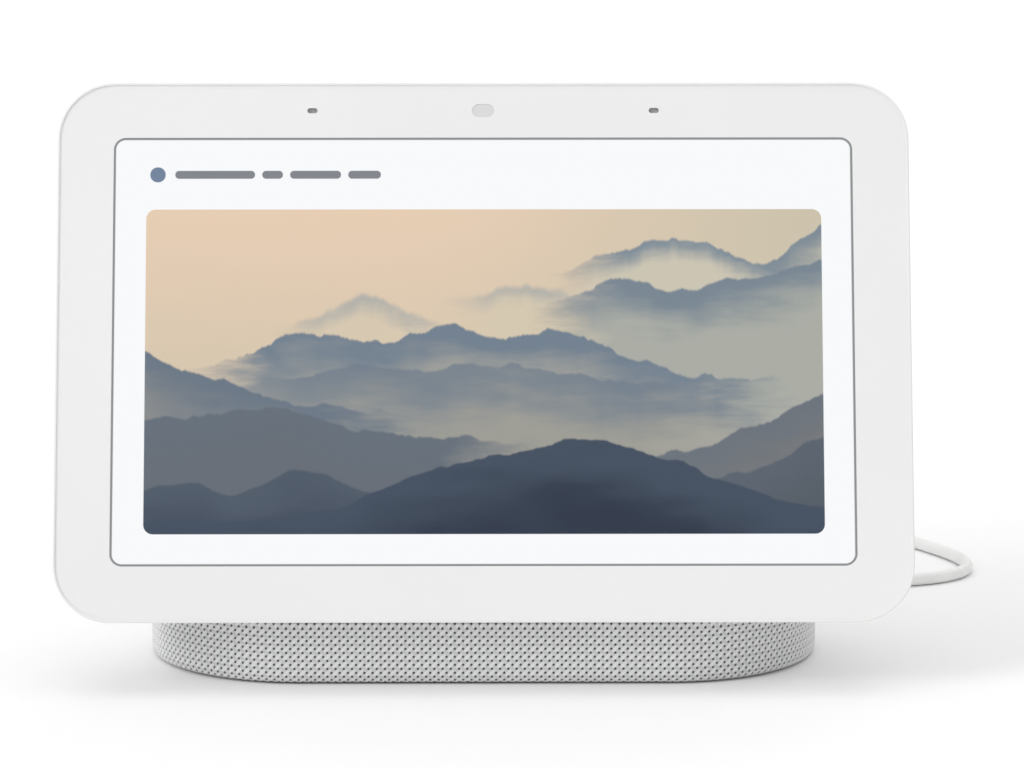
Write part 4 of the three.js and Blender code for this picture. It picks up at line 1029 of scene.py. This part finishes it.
def add_rear_housing(material):
    near = HEAD_THICKNESS - HEAD_WALL - 1 * MM
    mute_middle = (slider_middle[0] + SLIDER_TRAVEL / 2, slider_middle[1])
    mute_size = slot_size(SLIDER_KNOB, SLOT_GAP, SLIDER_TRAVEL)
    cutters = [
        hole_through(slot_size(ROCKER_CAP, SLOT_GAP), rocker_middle, near, HEAD_THICKNESS, SLOT_FLARE),
        hole_through(mute_size, mute_middle, near, HEAD_THICKNESS, SLOT_FLARE),
        hole_through(CABLE_SLOT["size"], CABLE_SLOT["middle"], near, HEAD_THICKNESS),
    ]
    for number in range(1, 5):
        middle = node_middle(f"neck_screw_{number}")[0]
        cutters.append(hole_through((3 * MM, 3 * MM), middle, near, HEAD_THICKNESS))
    shell = smooth(cut(rear_housing_shell(), *cutters))
    return dress(shell, material, "white_housing", "rear_housing")


def domed_button(name, node, flange, cap, dome):
    """A button in its CAD node's place, with a hidden flange and a domed, soft-edged cap."""
    low, high = head_box(node)
    middle = node_middle(node)[0]
    flange_far = low.y + FLANGE_THICKNESS
    sections = [(pill_outline(flange, middle), depth) for depth in (low.y, flange_far)]
    sections.append((pill_outline(cap, middle), flange_far))
    for inset, fall in rounded_edge(dome, 8):
        sections.append((pill_outline(cap, middle, -2 * inset), high.y - fall))
    return head_piece(name, sections)


def add_controls(rocker_look, slider_look):
    rocker = domed_button("volume_key", "volume_rocker", ROCKER_FLANGE, ROCKER_CAP, 0.35 * MM)
    dress(smooth(rocker, 40), rocker_look, "white_housing", "volume_rocker", body="volume_rocker")
    slider = domed_button("mute_switch_knob", "mute_slider", SLIDER_FLANGE, SLIDER_KNOB, 0.2 * MM)
    top = head_box("mute_slider")[1].y
    size, spacing = (0.45 * MM, 2.2 * MM), 1.2 * MM
    depth, flare, flare_depth = 0.28 * MM, 0.08 * MM, 0.1 * MM
    grooves = []
    for step in (-1, 0, 1):
        place = (slider_middle[0] + step * spacing, slider_middle[1])
        grooves.append(hole_through(size, place, top - depth, top, flare, flare_depth))
    cut(slider, *grooves)
    dress(smooth(slider, 40), slider_look, "grey_control", "mute_slider", body="mute_slider")


def add_face(looks):
    """Glass, printed border, screen, sensor window and microphone seals."""

    def inside_rim(inset):
        return face_outline(RIM_WIDTH + inset)

    glass = plate("face_glass", inside_rim, 0, GLASS_BACK)
    border = plate("face_border", inside_rim, PRINT_NEAR, PRINT_FAR, 0.01 * MM)
    cut(glass, *mic_holes())
    window_size = (SCREEN_WIDTH + SCREEN_LINE, SCREEN_HEIGHT + SCREEN_LINE)
    window = rounded_outline(*window_size, SCREEN_CORNER + SCREEN_LINE / 2, 10, (0, HEAD_MIDDLE))
    opening = head_piece("window", [(window, depth) for depth in PIERCE])
    cut(border, opening, hole_through(SENSOR_SIZE, (0, SENSOR_ROW), *PIERCE), *mic_holes())
    dress(smooth(glass), looks["glass"], "cover_glass", "cover_glass")
    dress(smooth(border), looks["print"], "white_print", "border_mask")

    middle, size = node_middle("lcd_panel")

    def panel_outline(inset):
        return rounded_outline(size[0] - 2 * inset, size[1] - 2 * inset, 1 * MM, 6, middle)

    panel = plate("screen_panel", panel_outline, LCD_NEAR, head_box("lcd_panel")[1].y)
    dress(smooth(panel), looks["screen"], "screen_picture", "lcd_panel")

    low, high = head_box("sensor_lens")
    lens_size = (high.x - low.x + 0.6 * MM, high.z - low.z + 0.4 * MM)

    def lens_outline(inset):
        return pill_outline(lens_size, (0, SENSOR_ROW), -inset)

    lens = plate("sensor_window", lens_outline, LCD_NEAR, high.y)
    dress(smooth(lens), looks["sensor"], "diffuser", "sensor_lens")
    for side, middle in zip(("left", "right"), mic_places()):
        def seal_outline(inset, middle=middle):
            return pill_outline(SEAL_SIZE, middle, -inset)

        seal = plate(f"microphone_seal_{side}", seal_outline, SEAL_NEAR, SEAL_FAR)
        dress(smooth(seal), looks["seal"], "diffuser")


# ---------------------------------------------------------------- base


def girth_of(radius):
    return 4 * BASE_STRAIGHT + 2 * math.pi * radius


GIRTH = girth_of(BASE_ROUND)
COLUMNS = 2 * round(GIRTH / (2 * HOLE_PITCH))

# The cover's way from the shoulder to the middle of the top, how far forward its middle line
# moves on that way, and how far its columns are evened out there
TOP_RUN = 22.75 * MM
TOP_SHIFT = 7.4 * MM
EVENING = 0.5


def on_ring(distance, radius, middle_y):
    """A point of the stadium outline at a distance round it, from the middle of its front."""
    arc = math.pi * radius
    if distance <= BASE_STRAIGHT:
        return distance, middle_y - radius
    distance -= BASE_STRAIGHT
    if distance <= arc:
        angle = distance / radius - math.pi / 2 if radius else 0
        return BASE_STRAIGHT + radius * math.cos(angle), middle_y + radius * math.sin(angle)
    distance -= arc
    if distance <= 2 * BASE_STRAIGHT:
        return BASE_STRAIGHT - distance, middle_y + radius
    distance -= 2 * BASE_STRAIGHT
    if distance <= arc:
        angle = distance / radius + math.pi / 2
        return -BASE_STRAIGHT + radius * math.cos(angle), middle_y + radius * math.sin(angle)
    return -BASE_STRAIGHT + distance - arc, middle_y - radius


def straight_and_round(distance):
    """How much of a distance round the foot lies on straights, and how much on the round ends."""
    runs = ((BASE_STRAIGHT, 0), (math.pi * BASE_ROUND, 1), (2 * BASE_STRAIGHT, 0),
            (math.pi * BASE_ROUND, 1), (BASE_STRAIGHT, 0))
    sums = [0.0, 0.0]
    for length, kind in runs:
        step = min(distance, length)
        sums[kind] += step
        distance -= step
    return sums


def top_height(y):
    return BASE_TOP.z - math.tan(HEAD_TILT) * (y - BASE_TOP.y)


def cover_point(column, distance):
    """A point of the smooth cover: how far round it, and how far up its profile from the hem."""
    foot = column * GIRTH / COLUMNS
    foot_y = on_ring(foot, BASE_ROUND, BASE_MIDDLE)[1]
    underside = HEM - HEM_ROUND
    fillet = HEM_ROUND * math.pi / 2
    wall = top_height(foot_y) - BASE_SHOULDER - BASE_BOTTOM - HEM_ROUND
    shoulder = BASE_SHOULDER * math.pi / 2
    middle_y, from_top = BASE_MIDDLE, None
    if distance < underside:
        inset, z = HEM - distance, BASE_BOTTOM
    elif distance < underside + fillet:
        angle = (distance - underside) / HEM_ROUND
        inset = HEM_ROUND * (1 - math.sin(angle))
        z = BASE_BOTTOM + HEM_ROUND * (1 - math.cos(angle))
    elif distance < underside + fillet + wall:
        inset, z = 0, BASE_BOTTOM + HEM_ROUND + distance - underside - fillet
    elif distance < underside + fillet + wall + shoulder:
        angle = (distance - underside - fillet - wall) / BASE_SHOULDER
        inset = BASE_SHOULDER * (1 - math.cos(angle))
        from_top = BASE_SHOULDER * (math.sin(angle) - 1)
    else:
        share = min((distance - underside - fillet - wall - shoulder) / TOP_RUN, 1)
        inset = BASE_SHOULDER + (BASE_ROUND - BASE_SHOULDER) * share
        middle_y -= TOP_SHIFT * share
        from_top = 0
    radius = BASE_ROUND - inset
    straights, rounds = straight_and_round(foot)
    radial = straights + rounds * radius / BASE_ROUND
    even = foot * girth_of(radius) / GIRTH
    share = min(max(inset / BASE_SHOULDER, 0), 1)
    evening = EVENING * share * share * (3 - 2 * share) if from_top is not None else 0
    x, y = on_ring(radial + (even - radial) * evening, radius, middle_y)
    if from_top is not None:
        z = top_height(y) + from_top
    return Vector((x, y, z))


head_back = HEAD.inverted()


def outside_head(place):
    """How far a point is outside the space that the head takes, less than 0 inside it."""
    local = head_back @ place
    past_back = local.y - (HEAD_THICKNESS - HEAD_BACK_ROUND)
    wall = HEAD_THICKNESS - HEAD_BACK_ROUND - RIM_ROUND
    drawn_in = HEAD_DRAFT * (1 - min(max(-past_back / wall, 0), 1))
    below = HEAD_BACK_ROUND + drawn_in - local.z
    if past_back > 0 and below > 0:
        return math.hypot(past_back, below) - HEAD_BACK_ROUND - HEAD_CLEARANCE
    return max(past_back, below) - HEAD_BACK_ROUND - HEAD_CLEARANCE


def outside_jack(place):
    if place.y < BASE_MIDDLE:
        return 1.0
    return math.hypot(place.x - JACK.x, place.z - JACK.z) - JACK_HOLE


def to_edge(place):
    """A point of the cover's edge moved onto the head's space or the jack's hole."""
    measure = outside_head if outside_head(place) < outside_jack(place) else outside_jack
    moved = place.copy()
    probe = 0.01 * MM
    for _ in range(3):
        here = measure(moved)
        slope = Vector([(measure(moved + Vector(step)) - here) / probe
                        for step in ((probe, 0, 0), (0, probe, 0), (0, 0, probe))])
        if slope.length > 0.5:
            moved -= slope.normalized() * here
    return moved


class KnitCover:
    """The knitted cover as a lattice of cells, each raised along its thread between two holes."""

    def __init__(self):
        longest = HEM + top_height(base_low.y) + BASE_SHOULDER + TOP_RUN
        self.rows = int(longest / HOLE_PITCH)
        self.smooth = [
            [cover_point(column, row * HOLE_PITCH) for row in range(self.rows)]
            for column in range(COLUMNS)
        ]
        self.cells = {
            (column, row): self.kept(column, row)
            for column in range(COLUMNS) for row in range(self.rows - 1)
        }
        self.vertices = []
        self.numbers = {}
        self.faces = []
        self.corners = []

    def at(self, column, row):
        return self.smooth[column % COLUMNS][min(max(row, 0), self.rows - 1)]

    def normal(self, column, row):
        across = self.at(column + 1, row) - self.at(column - 1, row)
        up = self.at(column, row + 1) - self.at(column, row - 1)
        return across.cross(up).normalized()

    def spread(self, column, row):
        """How open the knit is here, from 0 where its columns close up to 1 at full spacing."""
        across = (self.at(column + 1, row) - self.at(column - 1, row)).length
        return min(across / (2 * HOLE_PITCH), 1)

    def kept(self, column, row):
        corners = [self.at(column + i, row + j) for i in (0, 1) for j in (0, 1)]
        middle = sum(corners, Vector()) / 4
        return min(outside_head(middle), outside_jack(middle)) > 0

    def vertex(self, column, row):
        key = (column % COLUMNS, row)
        if key not in self.numbers:
            touching = [((column - i) % COLUMNS, row - j) for i in (0, 1) for j in (0, 1)]
            place = self.at(column, row)
            if row > 0 and not all(self.cells.get(cell, False) for cell in touching):
                place = to_edge(place)
            else:
                is_hole = (column + row) % 2 == 0
                depth = -HOLE_DEPTH if is_hole else CROSSING_RISE
                uneven = 1 + 0.25 * noise.noise(place * 700)
                place = place + self.normal(column, row) * depth * self.spread(column, row) * uneven
            self.numbers[key] = len(self.vertices)
            self.vertices.append(place)
        return self.numbers[key]

    def add_cell(self, column, row):
        """Four faces round the cell's middle, which stands on its thread."""
        corners = [(column, row), (column + 1, row), (column + 1, row + 1), (column, row + 1)]
        numbers = [self.vertex(*corner) for corner in corners]
        crossings = [number for number, corner in zip(numbers, corners) if sum(corner) % 2]
        middle = sum((self.vertices[number] for number in crossings), Vector()) / len(crossings)
        rise = RISING_THREAD if (column + row) % 2 else FALLING_THREAD
        middle += self.normal(column, row) * rise * self.spread(column, row)
        self.vertices.append(middle)
        centre = len(self.vertices) - 1
        for index in range(4):
            following = (index + 1) % 4
            self.faces.append((numbers[index], numbers[following], centre))
            self.corners += [corners[index], corners[following], (column + 0.5, row + 0.5)]

    def add_lip(self):
        """The cover's thickness, turned in along every edge."""
        keys = {number: key for key, number in self.numbers.items()}
        edges = {}
        for number, face in enumerate(self.faces):
            for index in range(3):
                edge = (face[index], face[(index + 1) % 3])
                edges[edge] = 3 * number + index
        inner = {}
        for first, second in [edge for edge in edges if edge[::-1] not in edges]:
            for number in (first, second):
                if number not in inner:
                    column, row = keys[number]
                    depth = self.normal(column, max(row, 1)) * COVER_THICKNESS
                    inner[number] = len(self.vertices)
                    self.vertices.append(self.vertices[number] - depth)
            self.faces.append((second, first, inner[first], inner[second]))
            at_first = edges[first, second]
            at_second = at_first - 2 if at_first % 3 == 2 else at_first + 1
            here, there = self.corners[at_first], self.corners[at_second]
            self.corners += [there, here, here, there]

    def build(self):
        for (column, row), kept in self.cells.items():
            if kept:
                self.add_cell(column, row)
        self.add_lip()
        mesh = bpy.data.meshes.new("knitted_cover")
        mesh.from_pydata([tuple(vertex) for vertex in self.vertices], [], self.faces)
        weave = mesh.uv_layers.new(name="weave")
        for place, corner in zip(weave.data, self.corners):
            place.uv = corner
        mesh.shade_smooth()
        return new_object("knitted_cover", mesh)


def add_cover(material):
    cover = dress(KnitCover().build(), material, "knit_fabric", "base_fabric")
    return cover


def base_ring(inset, z, sides=40):
    radius = BASE_ROUND - inset
    points = []
    for end, start in ((1, -90), (-1, 90)):
        for side in range(sides + 1):
            angle = math.radians(start + 180 * side / sides)
            x = end * BASE_STRAIGHT + radius * math.cos(angle)
            points.append((x, BASE_MIDDLE + radius * math.sin(angle), z))
    return points


def add_foot(material):
    """A rubber pad with a raised rim that the whole display stands on."""
    foot_low, foot_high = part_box("rubber_foot")
    edge_inset = base_high.x - foot_high.x
    rim, recess, soft = 5 * MM, 0.4 * MM, 0.35 * MM
    chamfer = 0.1 * MM
    profile = [(rim + 2 * soft, recess), (rim + soft, recess * 0.8)]
    profile += [(rim, soft * 0.3), (rim - soft, foot_low.z)]
    profile += [(inset, foot_low.z + rise) for rise, inset in rounded_edge(soft, 5)]
    profile += [(0, foot_high.z - chamfer), (chamfer, foot_high.z)]
    rings = [base_ring(edge_inset + inset, z) for inset, z in profile]
    foot = smooth(new_object("foot_pad", mesh_of("foot_pad", *skin(rings))))
    return dress(foot, material, "foot_rubber", "rubber_foot")


def add_jack(material):
    """Power inlet: a round socket flush with the cover, on its block."""
    low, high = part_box("dc_jack")
    outer, bore, soft = (high.z - low.z) / 2, 3.05 * MM, 0.3 * MM
    nose_start, block_start, nose_end = high.y - 4.6 * MM, low.y, high.y + 0.2 * MM
    profile = [(outer, nose_start), *arc_profile(outer - soft, nose_end - soft, soft, 0, 90)]
    profile += [(bore + 0.5 * MM, nose_end), (bore, nose_end - 0.6 * MM), (bore, block_start + 1 * MM)]
    profile += [(outer - soft, block_start + 1 * MM), (outer - soft, nose_start)]
    centre = Vector((JACK.x, 0, JACK.z))
    jack = turned("power_inlet", profile, centre, 64, endless=True)
    dress(jack, material, "black_plastic", "dc_jack")


# ---------------------------------------------------------------- other finishes


def board_look():
    """Green solder mask over copper tracks, with rows of small tinned pads."""
    look = Look("circuit_board", Coat_Weight=0.3, Coat_Roughness=0.15)
    tracks = look.node("TexVoronoi", {"Vector": look.place(), "Scale": 420.0},
                       feature="DISTANCE_TO_EDGE", distance="MANHATTAN").outputs["Distance"]
    pads = look.node("TexBrick", {"Vector": look.place(), "Scale": 260.0, "Mortar Size": 0.03})
    track = look.remap(tracks, 0.02, 0.06, 1.0, 0.0)
    colour = look.mix(track, srgb(20, 74, 50), srgb(38, 110, 74))
    on_pads = look.multiply(pads.outputs["Fac"], track)
    colour = look.mix(on_pads, colour, srgb(190, 188, 176))
    rough = look.remap(tracks, 0, 0.1, 0.35, 0.5)
    return look.finish(colour, rough, track, 0.03 * MM, 0.6)


def flex_look():
    """Amber film with copper lines along it."""
    look = Look("flex_film", Coat_Weight=0.4, Coat_Roughness=0.1)
    lines = look.wave(520.0, 0.1, "X")
    colour = look.mix(look.remap(lines, 0.4, 0.6), srgb(176, 104, 30), srgb(206, 140, 60))
    rough = look.remap(lines, 0, 1, 0.28, 0.4)
    return look.finish(colour, rough, lines, 0.03 * MM, 0.5)


def winding_look():
    """Enamelled wire laid turn beside turn, with painted shade in the grooves between turns."""
    look = Look("copper_winding", Metallic=0.9)
    turns = look.wave(900.0, 0.4, "Y")
    # painted shade: darker copper in the grooves between turns
    colour = look.mix(turns, srgb(128, 62, 26), srgb(206, 122, 62))
    rough = look.remap(turns, 0, 1, 0.25, 0.45)
    return look.finish(colour, rough, turns, 0.06 * MM, 0.8)


def paper_look():
    """Pressed pulp of the cone: dark fibres."""
    look = Look("cone_paper", Sheen_Weight=0.2, Sheen_Roughness=0.5)
    fibres = look.noise(look.scaled_place((300, 900, 500), (0.3, 0.2, 0.9)), 1, detail=6, roughness=0.7)
    colour = look.mix(look.remap(fibres, 0.3, 0.7), srgb(40, 42, 45), srgb(66, 68, 71))
    rough = look.remap(fibres, 0.3, 0.7, 0.8, 0.95)
    return look.finish(colour, rough, fibres, 0.05 * MM, 0.8)


def paint_inner_parts(looks):
    """Finishes of the CAD nodes that stay as they are."""
    finishes = {
        "board": ["sensor_board", "microphone_board_left", "microphone_board_right", "volume_board",
                  "main_board", "jack_board", "adapter_board"],
        "flex": ["sensor_flex", "display_flex"],
        "diffuser": ["backlight_guide"],
        "steel": ["lcd_tray", "board_shield", "neck_plate", "speaker_basket", "plug_barrel",
                  *[f"neck_screw_{number}" for number in range(1, 5)],
                  *[f"bottom_screw_{number}" for number in range(1, 5)]],
        "aluminium": ["heat_spreader"],
        "black": ["mid_frame", "volume_switch_up", "volume_switch_down", "mute_switch"],
        "grey": ["base_enclosure", "base_bottom_plate"],
        "surround": ["speaker_surround"],
        "magnet": ["speaker_magnet"],
        "winding": ["voice_coil", "adapter_transformer"],
        "paper": ["speaker_cone", "speaker_gasket"],
        "wire": ["speaker_lead", "power_harness"],
    }
    for look, nodes in finishes.items():
        for name in nodes:
            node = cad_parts[name]
            for place in node.material_slots:
                place.material = looks[look]


def make_looks():
    return {
        "glass": cover_glass_look(),
        "print": border_print_look(),
        "screen": screen_look(),
        "sensor": moulded("sensor_window", srgb(222, 222, 222), 0.5, 0.01 * MM),
        "seal": moulded("microphone_seal", srgb(208, 208, 208), 0.8, 0.05 * MM),
        "housing": moulded("white_housing", srgb(238, 238, 237), 0.42, 0.03 * MM, tint=0.015),
        "slider": moulded("grey_control", srgb(206, 207, 208), 0.45, 0.02 * MM),
        "knit": knit_look(),
        "foot": moulded("foot_rubber", srgb(150, 151, 152), 0.8, 0.06 * MM, Sheen_Weight=0.1),
        "grey": moulded("grey_plastic", srgb(204, 205, 205), 0.55, 0.03 * MM),
        "black": moulded("black_plastic", srgb(44, 46, 49), 0.5, 0.03 * MM, tint=0.1),
        "wire": moulded("wire_insulation", srgb(40, 41, 44), 0.45, 0.02 * MM, tint=0.1),
        "surround": moulded("surround_rubber", srgb(52, 53, 56), 0.7, 0.04 * MM, tint=0.1),
        "diffuser": moulded("diffuser", srgb(244, 244, 240), 0.5, 0.01 * MM),
        "shell": moulded("adapter_shell", srgb(229, 229, 228), 0.36, 0.015 * MM, tint=0.015),
        "steel": metal("plated_steel", srgb(196, 199, 203), 0.3),
        "aluminium": metal("aluminium_plate", srgb(205, 208, 212), 0.38),
        "magnet": metal("magnet_steel", srgb(96, 98, 102), 0.45, (200, 200, 200)),
        "board": board_look(),
        "flex": flex_look(),
        "winding": winding_look(),
        "paper": paper_look(),
        "tie": tie_look(),
    }


def floor_look():
    """Matte studio paper with a barely visible tooth."""
    look = Look("studio_paper", Specular_IOR_Level=0.1)
    tooth = look.noise(look.place(), 60, detail=4)
    colour = look.mix(look.remap(tooth, 0.3, 0.7), (0.942, 0.942, 0.942, 1), (0.946, 0.946, 0.946, 1))
    return look.use(Base_Color=colour, Roughness=0.95)


def add_floor():
    half = 12.0
    mesh = mesh_of("floor", [(-half, -half, 0), (half, -half, 0), (half, half, 0), (-half, half, 0)],
                   [(0, 1, 2, 3)])
    floor = new_object("floor", mesh)
    floor.data.materials.append(floor_look())


add_camera()
jacket = cord_look()
power_lead = add_cord(jacket)
looks = make_looks()
on_lead = [plug_grip(jacket), *strain_reliefs(jacket), coil_tie(looks["tie"])]
on_lead += add_adapter(looks["shell"], looks["steel"])
on_lead += [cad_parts[name] for name in ("plug_barrel", "adapter_board", "adapter_transformer")]
add_studio()
add_floor()
add_face(looks)
add_rear_housing(looks["housing"])
add_controls(looks["housing"], looks["slider"])
add_cover(looks["knit"])
add_foot(looks["foot"])
add_jack(looks["black"])
paint_inner_parts(looks)
